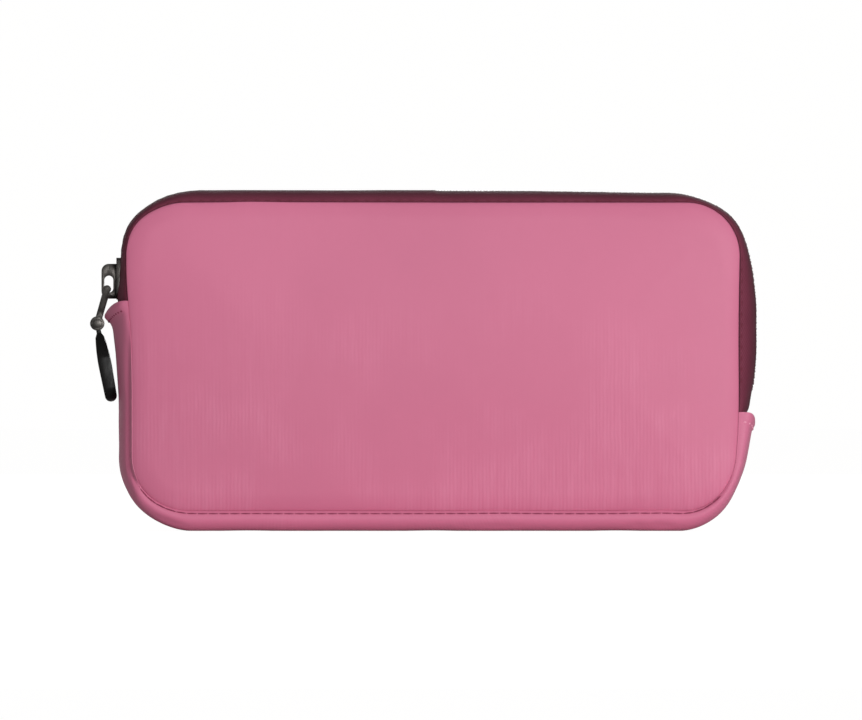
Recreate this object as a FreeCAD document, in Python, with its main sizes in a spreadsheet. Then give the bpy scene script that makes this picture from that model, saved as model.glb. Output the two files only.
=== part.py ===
import FreeCAD, Part
# Cable organizer pouch: a padded clamshell pouch with a wrap-round zip.
# Frame: X along the width, -Y towards the front panel, +Z up. Millimetres.
# The origin is the middle of the flat underside that the pouch stands on.
import math
import os
import re
import Sketcher

Vector = FreeCAD.Vector
Rotation = FreeCAD.Rotation
Placement = FreeCAD.Placement

doc = FreeCAD.newDocument("pouch")
sheet = doc.addObject("Spreadsheet::Sheet", "Sizes")

SIZES = {
    # the two panels, measured at the seams that join them to the band
    "panelWidth": 200.5,
    "panelLow": 6.6,
    "panelHigh": 108.0,
    "panelTopRadius": 18.0,
    "panelLowRadius": 18.0,
    "panelThick": 3.6,
    "panelRound": 3.3,
    "skinThick": 0.9,
    "liningThick": 0.6,
    "layerGap": 0.1,
    # the band between the panels
    "bandDepth": 40.0,
    "crownPlace": 11.0,
    "crownShare": 0.8,
    "gussetBulge": 4.65,
    "gussetRadius": 24.5,
    "gussetThick": 1.2,
    "gussetLining": 0.5,
    "bindingDepth": 4.0,
    "bindingThick": 1.5,
    "bindingInset": 2.3,
    # the zip: where it ends on each side, its tape and its coil
    "zipRight": 39.1,
    "tapeHigh": 111.0,
    "tapeRadius": 28.4,
    "tapeThick": 0.8,
    "coilHalf": 3.6,
    "coilThick": 2.2,
    "coilMeet": 0.75,
    "toothLong": 1.4,
    "toothGap": 1.4,
    "toothPitch": 3.0,
    "foldGap": 0.2,
    # the slider
    "sliderLength": 13.8,
    "sliderWidth": 10.4,
    "sliderRear": 8.4,
    "sliderNose": 3.1,
    "sliderShoulder": 0.7,
    "sliderTail": 1.0,
    "sliderRise": 0.4,
    "sliderClear": 0.35,
    "sliderStop": 0.4,
    "plateThick": 1.4,
    "channelTurn": 60.0,
    "flangeWidth": 0.9,
    "postLength": 2.0,
    "postWidth": 0.9,
    "bailThick": 3.2,
    "bailReach": 4.95,
    "bailHigh": 4.9,
    "bailLow": 6.6,
    "bailRound": 2.4,
    "windowOut": 2.55,
    "windowRise": 0.3,
    "windowTall": 2.6,
    "windowRadius": 1.5,
    # the link and the pull that hang from it
    "linkOut": 3.1,
    "linkDrop": 3.4,
    "linkBar": 0.8,
    "linkArm": 1.0,
    "linkSide": 0.35,
    "linkLength": 11.8,
    "linkLean": 16.0,
    "linkHead": 1.25,
    "linkThick": 1.1,
    "linkCrotch": 6.0,
    "stemHalf": 1.4,
    "eyeRadius": 2.35,
    "cheekHalf": 2.0,
    "tongueHalf": 0.8,
    "tongueClear": 0.2,
    "rivetRadius": 0.9,
    "rivetHead": 1.5,
    "rivetHeadThick": 0.45,
    "pinClear": 0.05,
    "pullLean": 10.7,
    "pullLength": 26.2,
    "pullEye": 1.9,
    "pullNeck": 3.3,
    "pullNeckHalf": 0.8,
    "pullNeckWide": 1.2,
    "pullShoulder": 4.6,
    "pullShoulderHalf": 1.45,
    "pullHalf": 2.1,
    "pullFoot": 1.9,
    "pullWideTop": 2.4,
    "pullWide": 4.8,
    "pullRim": 1.2,
    "pullRecess": 0.5,
    # what is sewn inside
    "loopWidth": 26.0,
    "loopTab": 6.0,
    "loopHigh": 9.0,
    "loopThick": 1.2,
    "loopCount": 5,
    "loopStart": -83.0,
    "loopLow": 50.0,
    "loopTall": 26.0,
    "pocketHigh": 33.0,
    "pocketGap": 5.2,
    "pocketThick": 0.6,
    "pocketRim": 4.0,
    "pocketRimThick": 1.2,
    "pocketSide": 1.2,
    "pocketInset": 6.0,
}

for row, (alias, number) in enumerate(SIZES.items(), start=1):
    sheet.set(f"A{row}", alias)
    sheet.set(f"B{row}", str(number))
    sheet.setAlias(f"B{row}", alias)
doc.recompute()

# How far the cutting shapes reach: past the whole pouch on every side
FAR = "(panelWidth + bandDepth)"
# Two places closer than this are the same place
NEAR = 0.01


def bound(formula):
    """The formula with every size read from the sheet."""
    def cell(match):
        word = match.group()
        return "Sizes." + word if word in SIZES else word
    return re.sub(r"[A-Za-z]\w*", cell, formula)


def size(formula):
    """The formula's value in millimetres."""
    return float(sheet.evalExpression(formula))


def drive(feature, path, formula):
    feature.setExpression(path, bound(formula))


def body(label):
    piece = doc.addObject("PartDesign::Body", label)
    piece.Label = label
    return piece


def plane(piece, role):
    return next(datum for datum in piece.Origin.OriginFeatures if datum.Role == role)


def arc_between(start, end, radius):
    """The short arc from start to end; a positive radius turns left."""
    chord = end - start
    middle = (start + end) * 0.5
    across = Vector(-chord.y, chord.x, 0).normalize()
    rise = math.sqrt(max(radius * radius - chord.Length * chord.Length / 4, 0))
    turn = 1 if radius > 0 else -1
    centre = middle + across * (rise * turn)
    crest = centre - across * (abs(radius) * turn)
    return Part.Arc(start, crest, end)


def draw(sketch, corners):
    """Adds one closed outline. Each corner is (x, y) or (x, y, radius of the arc to the next)."""
    first = sketch.GeometryCount
    spots = [Vector(size(corner[0]), size(corner[1]), 0) for corner in corners]
    count = len(corners)
    for index, corner in enumerate(corners):
        start = spots[index]
        end = spots[(index + 1) % count]
        if len(corner) == 3:
            sketch.addGeometry(arc_between(start, end, size(corner[2])))
        else:
            sketch.addGeometry(Part.LineSegment(start, end))
    for index, corner in enumerate(corners):
        # an arc that turns right is stored from its end to its start
        here = first + index
        back = len(corner) == 3 and size(corner[2]) < 0
        after = first + (index + 1) % count
        after_corner = corners[(index + 1) % count]
        after_back = len(after_corner) == 3 and size(after_corner[2]) < 0
        start_point = 2 if back else 1
        end_point = 1 if back else 2
        next_point = 2 if after_back else 1
        sketch.addConstraint(Sketcher.Constraint("Coincident", here, end_point, after, next_point))
        for kind, formula in (("DistanceX", corner[0]), ("DistanceY", corner[1])):
            number = sketch.addConstraint(
                Sketcher.Constraint(kind, here, start_point, size(formula)))
            drive(sketch, f"Constraints[{number}]", formula)
        if len(corner) == 3:
            number = sketch.addConstraint(
                Sketcher.Constraint("Radius", here, abs(size(corner[2]))))
            drive(sketch, f"Constraints[{number}]", f"abs({corner[2]})")


def sketch_on(piece, role, height="0"):
    """An empty sketch on one of the body's own origin planes, moved along its normal."""
    sketch = piece.newObject("Sketcher::SketchObject", "Outline")
    sketch.AttachmentSupport = [(plane(piece, role), "")]
    sketch.MapMode = "FlatFace"
    drive(sketch, "AttachmentOffset.Base.z", height)
    return sketch


def pad(piece, sketch, length, reverse=False):
    feature = piece.newObject("PartDesign::Pad", "Pad")
    feature.Profile = sketch
    feature.Reversed = reverse
    drive(feature, "Length", length)
    doc.recompute()
    return feature


def pocket(piece, sketch, length, reverse=False):
    feature = piece.newObject("PartDesign::Pocket", "Pocket")
    feature.Profile = sketch
    feature.Reversed = reverse
    drive(feature, "Length", length)
    before = piece.Shape.Volume
    doc.recompute()
    if not piece.Shape.Volume < before:
        raise ValueError(f"{piece.Label}: a pocket cuts nothing")
    return feature


def box_outline(left, right, low, high):
    return [(left, low), (right, low), (right, high), (left, high)]


def fillet(piece, edges, radius):
    base = piece.Tip
    feature = piece.newObject("PartDesign::Fillet", "Fillet")
    feature.Base = (base, edges)
    drive(feature, "Radius", radius)
    doc.recompute()
    return feature


def edges_where(piece, chosen):
    return [f"Edge{number}" for number, edge in enumerate(piece.Shape.Edges, start=1) if chosen(edge)]


# ---------------------------------------------------------------- outlines of the pouch

def blend(edge, middle, share):
    return f"({edge} + ({middle} - {edge}) * {share})"


def rounded(half, low, high, top_radius, low_radius, inset="0"):
    """A rounded rectangle in the XZ plane, taken in by inset all round."""
    inset = f"({inset})"
    half = f"({half} - {inset})"
    low = f"({low} + {inset})"
    high = f"({high} - {inset})"
    top_radius = f"({top_radius} - {inset})"
    low_radius = f"({low_radius} - {inset})"
    return [
        (f"-{half} + {low_radius}", low),
        (f"{half} - {low_radius}", low, low_radius),
        (half, f"{low} + {low_radius}"),
        (half, f"{high} - {top_radius}", top_radius),
        (f"{half} - {top_radius}", high),
        (f"-{half} + {top_radius}", high, top_radius),
        (f"-{half}", f"{high} - {top_radius}"),
        (f"-{half}", f"{low} + {low_radius}", low_radius),
    ]


def panel_outline(inset="0"):
    return rounded("panelWidth / 2", "panelLow", "panelHigh", "panelTopRadius", "panelLowRadius", inset)


# The gusset stands out beyond the panels, and the tape meets the inside of its lining
GUSSET_HALF = "(panelWidth / 2 + gussetBulge)"
TAPE_HALF = f"({GUSSET_HALF} - gussetThick - gussetLining)"


def tape_outline(inset="0"):
    """The zip's line round the pouch, at the outside of its tape."""
    return rounded(TAPE_HALF, "0", "tapeHigh", "tapeRadius", "gussetRadius", inset)


def tape_section(share, inset):
    return rounded(blend("panelWidth / 2", TAPE_HALF, share), blend("panelLow", "0", share),
                   blend("panelHigh", "tapeHigh", share), blend("panelTopRadius", "tapeRadius", share),
                   blend("panelLowRadius", "gussetRadius", share), inset)


def gusset_section(share, floor_share, inset):
    return rounded(blend("panelWidth / 2", GUSSET_HALF, share), blend("panelLow", "0", floor_share),
                   blend("panelHigh", "tapeHigh", share), blend("panelTopRadius", "tapeRadius", share),
                   blend("panelLowRadius", "gussetRadius", floor_share), inset)


# The slider stands where the corner's arc begins, just above the left end of the zip
ARC_X = f"(-{TAPE_HALF} + tapeRadius)"
ARC_Z = "(tapeHigh - tapeRadius)"
SLIDER_MIDDLE = f"({ARC_Z} + sliderRise)"
SLIDER_TOP = f"({SLIDER_MIDDLE} + sliderLength / 2)"
ZIP_LEFT = f"({SLIDER_MIDDLE} - sliderLength / 2 - sliderStop)"

# The fold runs straight across the front panel from one end of the zip to the other
FOLD_MIDDLE = f"({ZIP_LEFT} + zipRight) / 2"
FOLD_SLOPE = f"(zipRight - {ZIP_LEFT}) / (2 * {GUSSET_HALF})"


def fold_at(x, shift="0"):
    return f"{FOLD_MIDDLE} + {FOLD_SLOPE} * ({x}) + {shift}"


def cut_window(piece, corners):
    """Cuts an outline of the XZ plane right through the piece, from front to back."""
    sketch = sketch_on(piece, "XZ_Plane", FAR)
    draw(sketch, corners)
    pocket(piece, sketch, f"2 * {FAR}")


def keep_below_fold(piece, gap="0"):
    cut_window(piece, [
        (f"-{FAR}", fold_at(f"-{FAR}", f"-({gap}) / 2")),
        (FAR, fold_at(FAR, f"-({gap}) / 2")),
        (FAR, f"2 * {FAR}"),
        (f"-{FAR}", f"2 * {FAR}"),
    ])


def keep_above_fold(piece, gap="0"):
    cut_window(piece, [
        (f"-{FAR}", fold_at(f"-{FAR}", f"({gap}) / 2")),
        (f"-{FAR}", f"-{FAR}"),
        (FAR, f"-{FAR}"),
        (FAR, fold_at(FAR, f"({gap}) / 2")),
    ])


# ---------------------------------------------------------------- the two padded panels

FRONT = 1
BACK = -1


def depth_from_middle(side, distance):
    """Height of a sketch on the XZ plane at a distance in front of or behind the middle."""
    return f"{side} * ({distance})"


def layer(label, side, start, thick, inset, round_edge=None):
    """A flat layer of a panel, from start outwards from the middle of the pouch."""
    piece = body(label)
    sketch = sketch_on(piece, "XZ_Plane", depth_from_middle(side, start))
    draw(sketch, panel_outline(inset))
    pad(piece, sketch, thick, reverse=side == BACK)
    if round_edge:
        face = -side * size(f"{start} + {thick}")
        outer = edges_where(piece, lambda edge: abs(edge.BoundBox.YMin - face) < NEAR
                            and abs(edge.BoundBox.YMax - face) < NEAR)
        fillet(piece, outer, round_edge)
    return piece


def cut_fold(piece, part):
    if part == "lower":
        keep_below_fold(piece, "foldGap")
    if part == "upper":
        keep_above_fold(piece, "foldGap")


def panel_skin(label, side, part):
    """The outer cloth of a panel: a shallow tray that the padding fills."""
    piece = layer(label, side, "bandDepth / 2", "panelThick", "0", "panelRound")
    open_face = -side * size("bandDepth / 2")
    number = next(index for index, face in enumerate(piece.Shape.Faces, start=1)
                  if abs(face.BoundBox.YMin - open_face) < NEAR and abs(face.BoundBox.YMax - open_face) < NEAR)
    hollow = piece.newObject("PartDesign::Thickness", "Hollow")
    hollow.Base = (piece.Group[-2], [f"Face{number}"])
    hollow.Reversed = True
    drive(hollow, "Value", "skinThick")
    piece.Tip = hollow
    doc.recompute()
    cut_fold(piece, part)
    return piece


def panel_padding(label, side, part):
    piece = layer(label, side, "bandDepth / 2", "panelThick - skinThick - layerGap",
                  "skinThick + layerGap", "panelRound - skinThick")
    cut_fold(piece, part)
    return piece


def panel_lining(label, side, part):
    piece = layer(label, side, "bandDepth / 2 - 2 * layerGap - liningThick", "liningThick",
                  "gussetThick + gussetLining + 4 * layerGap")
    cut_fold(piece, part)
    return piece


LINING_FACE = "(bandDepth / 2 - 2 * layerGap - liningThick)"


def seam_binding(label, side, part):
    """The bound seam allowance, standing in from the panel all round."""
    piece = body(label)
    start = f"{LINING_FACE} - layerGap - bindingDepth"
    sketch = sketch_on(piece, "XZ_Plane", depth_from_middle(side, start))
    draw(sketch, panel_outline("bindingInset"))
    draw(sketch, panel_outline("(bindingInset + bindingThick)"))
    pad(piece, sketch, "bindingDepth", reverse=side == BACK)
    cut_fold(piece, part)
    return piece


# ---------------------------------------------------------------- the band round the pouch

def band_shell(label, section, places, outer_inset, inner_inset):
    """A cloth wall between two lofts, each through the outlines at the given places."""
    piece = body(label)
    for kind, inset in (("AdditiveLoft", outer_inset), ("SubtractiveLoft", inner_inset)):
        outlines = []
        for height, shares in places:
            sketch = sketch_on(piece, "XZ_Plane", height)
            draw(sketch, section(*shares, inset))
            outlines.append(sketch)
        doc.recompute()
        feature = piece.newObject("PartDesign::" + kind, kind)
        feature.Profile = outlines[0]
        feature.Sections = outlines[1:]
        doc.recompute()
    return piece


GUSSET_PLACES = [
    ("bandDepth / 2", ("0", "0")),
    ("crownPlace", ("crownShare", "1")),
    ("0", ("1", "1")),
    ("-crownPlace", ("crownShare", "1")),
    ("-bandDepth / 2", ("0", "0")),
]


def gusset():
    """The cloth strip under and beside the pouch, flattened where it stands."""
    piece = band_shell("lower_gusset", gusset_section, GUSSET_PLACES, "0", "gussetThick")
    keep_below_fold(piece)
    cut_window(piece, box_outline(f"-{FAR}", FAR, f"-{FAR}", "0"))
    return piece


def gusset_lining():
    piece = band_shell("gusset_lining", gusset_section, GUSSET_PLACES, "(gussetThick + layerGap)",
                       "(gussetThick + layerGap + gussetLining)")
    keep_below_fold(piece)
    return piece


COIL_OUT = "(coilThick - tapeThick) / 2"


def slider_notch(piece):
    """Room in the front tape for the slider that stands at the left end of the zip."""
    sketch = sketch_on(piece, "YZ_Plane", f"-{TAPE_HALF} - tapeThick")
    draw(sketch, box_outline("-sliderWidth / 2 - sliderClear", "0", f"{ZIP_LEFT} - sliderLength",
                             f"{SLIDER_TOP} + sliderClear"))
    pocket(piece, sketch, "sliderLength", reverse=True)


def zip_tape(label, side):
    places = [
        (depth_from_middle(side, "bandDepth / 2"), ("0",)),
        (depth_from_middle(side, "crownPlace"), ("crownShare",)),
        (depth_from_middle(side, "coilHalf"), ("1",)),
    ]
    piece = band_shell(label, tape_section, places, "0", "tapeThick")
    if side == FRONT:
        keep_above_fold(piece, "foldGap")
        slider_notch(piece)
    else:
        keep_above_fold(piece)
    return piece


TOP_RUN = f"(-2 * {ARC_X})"
TOP_TEETH = f"floor({TOP_RUN} / toothPitch)"
TOP_STEP = f"({TOP_RUN} / {TOP_TEETH})"
CORNER_TEETH = "floor(tapeRadius * pi / 2 / toothPitch)"
SIDE_TEETH = f"floor(({ARC_Z} - zipRight) / toothPitch)"


def tooth_gap(piece, side, centre_x, left, right, low, high):
    """A gap between two teeth, drawn from the centre of one of the pouch's corners."""
    sketch = sketch_on(piece, "XZ_Plane", depth_from_middle(side, "coilMeet"))
    drive(sketch, "AttachmentOffset.Base.x", centre_x)
    drive(sketch, "AttachmentOffset.Base.y", ARC_Z)
    draw(sketch, box_outline(left, right, low, high))
    return pocket(piece, sketch, "toothLong", reverse=side == FRONT), sketch


def repeat(piece, kind, gap, count, reverse=False):
    """An empty pattern of a gap, for its direction and reach to be set."""
    pattern = piece.newObject("PartDesign::" + kind, "Teeth")
    pattern.Originals = [gap]
    pattern.Reversed = reverse
    pattern.Refine = False
    drive(pattern, "Occurrences", count)
    piece.Tip = pattern
    return pattern


def cut_teeth(piece, side, whole_run):
    """Leaves teeth along the row's edge: round the corners, along the top and down the right side."""
    near = "(tapeRadius - coilThick)"
    far = "(tapeRadius + coilThick)"
    half = "toothGap / 2"
    corners = [(ARC_X, False)]
    if whole_run:
        corners.append((f"-{ARC_X}", True))
    for centre_x, clockwise in corners:
        gap, sketch = tooth_gap(piece, side, centre_x, f"-{half}", half, near, far)
        pattern = repeat(piece, "PolarPattern", gap, f"{CORNER_TEETH} + 1", clockwise)
        pattern.Axis = (sketch, ["N_Axis"])
        pattern.Angle = 90
        doc.recompute()
    if whole_run:
        gap, sketch = tooth_gap(piece, side, ARC_X, f"{TOP_STEP} - {half}", f"{TOP_STEP} + {half}", near, far)
        pattern = repeat(piece, "LinearPattern", gap, f"{TOP_TEETH} - 1")
        pattern.Direction = (sketch, ["H_Axis"])
        drive(pattern, "Length", f"{TOP_RUN} - 2 * {TOP_STEP}")
        doc.recompute()
        gap, sketch = tooth_gap(piece, side, f"-{ARC_X}", near, far,
                                f"-toothPitch - {half}", f"-toothPitch + {half}")
        pattern = repeat(piece, "LinearPattern", gap, SIDE_TEETH, reverse=True)
        pattern.Direction = (sketch, ["V_Axis"])
        drive(pattern, "Length", f"({SIDE_TEETH} - 1) * toothPitch")
        doc.recompute()


def zip_coil(label, side, stretch="whole"):
    """One row of the zip's teeth on a spine that grips the edge of its tape.

    The front row is two pieces: its end in the slider stays where it is when the mouth opens.
    """
    piece = body(label)
    sketch = sketch_on(piece, "XZ_Plane", depth_from_middle(side, "coilMeet"))
    draw(sketch, tape_outline(f"-{COIL_OUT}"))
    draw(sketch, tape_outline(f"(coilThick - {COIL_OUT})"))
    pad(piece, sketch, "coilHalf - coilMeet", reverse=side == BACK)
    cut_teeth(piece, side, stretch != "end")
    keep_above_fold(piece, "foldGap")
    if stretch == "run":
        cut_window(piece, box_outline(f"-{FAR}", ARC_X, f"-{FAR}", f"{SLIDER_TOP} + sliderClear"))
    if stretch == "end":
        cut_window(piece, box_outline(f"-{FAR}", FAR, SLIDER_TOP, f"2 * {FAR}"))
        cut_window(piece, box_outline(ARC_X, FAR, f"-{FAR}", f"2 * {FAR}"))
    return piece


# ---------------------------------------------------------------- the slider and its pull

COIL_FACE = f"({TAPE_HALF} + {COIL_OUT})"
PLATE_FACE = f"({COIL_FACE} + sliderClear)"
SLIDER_FACE = f"({PLATE_FACE} + plateThick)"
SLIDER_BACK = f"({COIL_FACE} - coilThick - sliderClear - plateThick)"
SAG = "(sliderLength * sliderLength / 8 / (tapeRadius + sliderClear))"


def slider_hull(sketch):
    """Outline of the slider seen along X: broad at the lower end, narrower at the top."""
    nose = f"({SLIDER_MIDDLE} - sliderLength / 2)"
    shoulder = f"({SLIDER_MIDDLE} - sliderShoulder)"
    draw(sketch, [
        ("-sliderWidth / 2 + sliderNose", nose),
        ("sliderWidth / 2 - sliderNose", nose, "sliderNose"),
        ("sliderWidth / 2", f"{nose} + sliderNose"),
        ("sliderWidth / 2", shoulder),
        ("sliderRear / 2", f"{SLIDER_TOP} - sliderTail", "sliderTail"),
        ("sliderRear / 2 - sliderTail", SLIDER_TOP),
        ("-sliderRear / 2 + sliderTail", SLIDER_TOP, "sliderTail"),
        ("-sliderRear / 2", f"{SLIDER_TOP} - sliderTail"),
        ("-sliderWidth / 2", shoulder),
        ("-sliderWidth / 2", f"{nose} + sliderNose", "sliderNose"),
    ])


def channel_profile(sketch, centre_x):
    """Cross-section, in the XY plane, of the room for the coil and for the tapes beside it."""
    room_out = f"-{PLATE_FACE} - ({centre_x})"
    room_in = f"-{COIL_FACE} + coilThick + sliderClear - ({centre_x})"
    slot_out = f"-{TAPE_HALF} - sliderClear - ({centre_x})"
    slot_in = f"-{TAPE_HALF} + tapeThick + sliderClear - ({centre_x})"
    wide = "(coilHalf + sliderClear)"
    draw(sketch, [
        (room_out, f"-{wide}"),
        (slot_out, f"-{wide}"),
        (slot_out, "-sliderWidth"),
        (slot_in, "-sliderWidth"),
        (slot_in, f"-{wide}"),
        (room_in, f"-{wide}"),
        (room_in, wide),
        (slot_in, wide),
        (slot_in, "sliderWidth"),
        (slot_out, "sliderWidth"),
        (slot_out, wide),
        (room_out, wide),
    ])


def slider_body():
    """Two plates with turned-in flanges, a channel for the coil and a post between the rows."""
    piece = body("slider_body")
    sketch = sketch_on(piece, "YZ_Plane", f"-{SLIDER_FACE}")
    slider_hull(sketch)
    pad(piece, sketch, f"{SLIDER_FACE} - {SLIDER_BACK} + {SAG}")
    # the straight part of the channel
    sketch = sketch_on(piece, "XY_Plane", f"{SLIDER_MIDDLE} - sliderLength")
    channel_profile(sketch, "0")
    pocket(piece, sketch, "2 * sliderLength", reverse=True)
    # the same channel turned about the centre of the pouch's corner
    sketch = sketch_on(piece, "XY_Plane", ARC_Z)
    drive(sketch, "AttachmentOffset.Base.x", ARC_X)
    channel_profile(sketch, ARC_X)
    doc.recompute()
    groove = piece.newObject("PartDesign::Groove", "Groove")
    groove.Profile = sketch
    groove.ReferenceAxis = (sketch, ["V_Axis"])
    groove.Midplane = True
    drive(groove, "Angle", "channelTurn")
    doc.recompute()
    # the post that holds the two plates together at the lower end
    sketch = sketch_on(piece, "YZ_Plane", f"-{SLIDER_FACE} + plateThick / 2")
    low = f"{SLIDER_MIDDLE} - sliderLength / 2 + flangeWidth"
    draw(sketch, [
        ("-postWidth / 2", low),
        ("postWidth / 2", low),
        ("postWidth / 2", f"{low} + postLength"),
        ("-postWidth / 2", f"{low} + postLength"),
    ])
    pad(piece, sketch, f"{SLIDER_FACE} - {SLIDER_BACK} + {SAG} - plateThick")
    return piece


LINK_X = f"(-{SLIDER_FACE} - linkOut)"
LINK_Z = f"({SLIDER_MIDDLE} - linkDrop)"


def round_slot(x, low, high, radius):
    """An upright slot with round ends, as quarter arcs and two straight sides."""
    return [
        (f"{x} - {radius}", low, radius),
        (x, f"{low} - {radius}", radius),
        (f"{x} + {radius}", low),
        (f"{x} + {radius}", high, radius),
        (x, f"{high} + {radius}", radius),
        (f"{x} - {radius}", high),
    ]


def slider_bail():
    """The arch on the slider's face, with the window that the link's bar hangs in."""
    piece = body("slider_bail")
    sketch = sketch_on(piece, "XZ_Plane", "-bailThick / 2")
    face = f"-{SLIDER_FACE}"
    outer = f"(-{SLIDER_FACE} - bailReach)"
    top = f"({SLIDER_MIDDLE} + bailHigh)"
    low = f"({SLIDER_MIDDLE} - bailLow)"
    draw(sketch, [
        (face, top),
        (f"{outer} + bailRound", top, "bailRound"),
        (outer, f"{top} - bailRound"),
        (outer, f"{low} + bailRound", "bailRound"),
        (f"{outer} + bailRound", low),
        (face, low),
    ])
    window_low = f"({LINK_Z} + windowRise)"
    draw(sketch, round_slot(f"(-{SLIDER_FACE} - windowOut)", window_low,
                            f"({window_low} + windowTall)", "windowRadius"))
    pad(piece, sketch, "bailThick")
    return piece


def hang(piece, x, z, lean):
    """Turns a piece about Y and hangs its own origin at a place in the XZ plane."""
    piece.Placement.Rotation = Rotation(Vector(0, 1, 0), size(lean))
    drive(piece, "Placement.Base.x", x)
    drive(piece, "Placement.Base.z", z)
    drive(piece, "Placement.Rotation.Angle", lean)
    return piece


def centred(piece, role, length, *outlines):
    """A pad as far to one side of an origin plane as to the other."""
    sketch = sketch_on(piece, role, f"-({length}) / 2")
    for outline in outlines:
        draw(sketch, outline)
    return pad(piece, sketch, length)


def cut_centred(piece, role, length, *outlines):
    sketch = sketch_on(piece, role, f"-({length}) / 2")
    for outline in outlines:
        draw(sketch, outline)
    return pocket(piece, sketch, length, reverse=True)


def disc(x, z, radius):
    return [(f"{x} - {radius}", z, radius), (x, f"{z} - {radius}", radius),
            (f"{x} + {radius}", z, radius), (x, f"{z} + {radius}", radius)]


ARM_OUTSIDE = "(bailThick / 2 + linkSide + linkArm)"


def pull_link():
    """A bar through the bail, two arms beside it, a stem and two cheeks for the rivet."""
    piece = body("pull_link")
    # side view: a thin strap from the bar to the eye, with a round head and a round eye
    centred(piece, "XZ_Plane", f"2 * {ARM_OUTSIDE}",
            box_outline("-linkThick", "linkThick", "-linkLength", "0"))
    centred(piece, "XZ_Plane", f"2 * {ARM_OUTSIDE}", disc("0", "0", "linkHead"))
    # seen from outside: the arms draw in to the stem
    reach = "2 * linkHead"
    stem_top = "(-linkCrotch - linkArm)"
    for side in ("", "-"):
        corners = [
            (f"{side}stemHalf", "-2 * linkLength"),
            (f"{side}2 * {ARM_OUTSIDE}", "-2 * linkLength"),
            (f"{side}2 * {ARM_OUTSIDE}", "-linkCrotch / 2"),
            (f"{side}{ARM_OUTSIDE}", "-linkCrotch / 2"),
            (f"{side}stemHalf", stem_top),
        ]
        cut_centred(piece, "YZ_Plane", f"2 * {reach}", corners)
    # the room between the arms, from under the bar to the crotch
    inside = f"({ARM_OUTSIDE} - linkArm)"
    crotch = "(-linkCrotch + linkArm)"
    cut_centred(piece, "YZ_Plane", f"2 * {reach}", [
        (f"-{inside}", "-linkBar"),
        (f"-{inside}", f"{crotch}"),
        ("-stemHalf / 2", "-linkCrotch"),
        ("stemHalf / 2", "-linkCrotch"),
        (inside, f"{crotch}"),
        (inside, "-linkBar"),
    ])
    # the bar itself is round and thinner than the head between the arms
    cut_centred(piece, "XZ_Plane", f"2 * {inside}",
                disc("0", "0", "(linkHead + linkArm)"), disc("0", "0", "linkBar"))
    # the eye: a disc as wide as both cheeks, opened for the tongue and bored for the rivet
    centred(piece, "XZ_Plane", "2 * cheekHalf", disc("0", "-linkLength", "eyeRadius"))
    cut_centred(piece, "XZ_Plane", "2 * (tongueHalf + tongueClear)",
                disc("0", "-linkLength", "(eyeRadius + tongueClear)"))
    cut_centred(piece, "XZ_Plane", "4 * cheekHalf", disc("0", "-linkLength", "rivetRadius"))
    return hang(piece, LINK_X, LINK_Z, "linkLean * 1deg")


EYE_X = f"({LINK_X} - linkLength * sin(linkLean * 1deg))"
EYE_Z = f"({LINK_Z} - linkLength * cos(linkLean * 1deg))"


def pull_rivet():
    """The rivet across the two cheeks, with a low head at each end."""
    piece = body("pull_rivet")
    centred(piece, "XZ_Plane", "2 * cheekHalf", disc("0", "0", "rivetRadius"))
    for side in (FRONT, BACK):
        sketch = sketch_on(piece, "XZ_Plane", depth_from_middle(side, "cheekHalf"))
        draw(sketch, disc("0", "0", "rivetHead"))
        pad(piece, sketch, "rivetHeadThick", reverse=side == BACK)
    return hang(piece, EYE_X, EYE_Z, "linkLean * 1deg")


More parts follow.
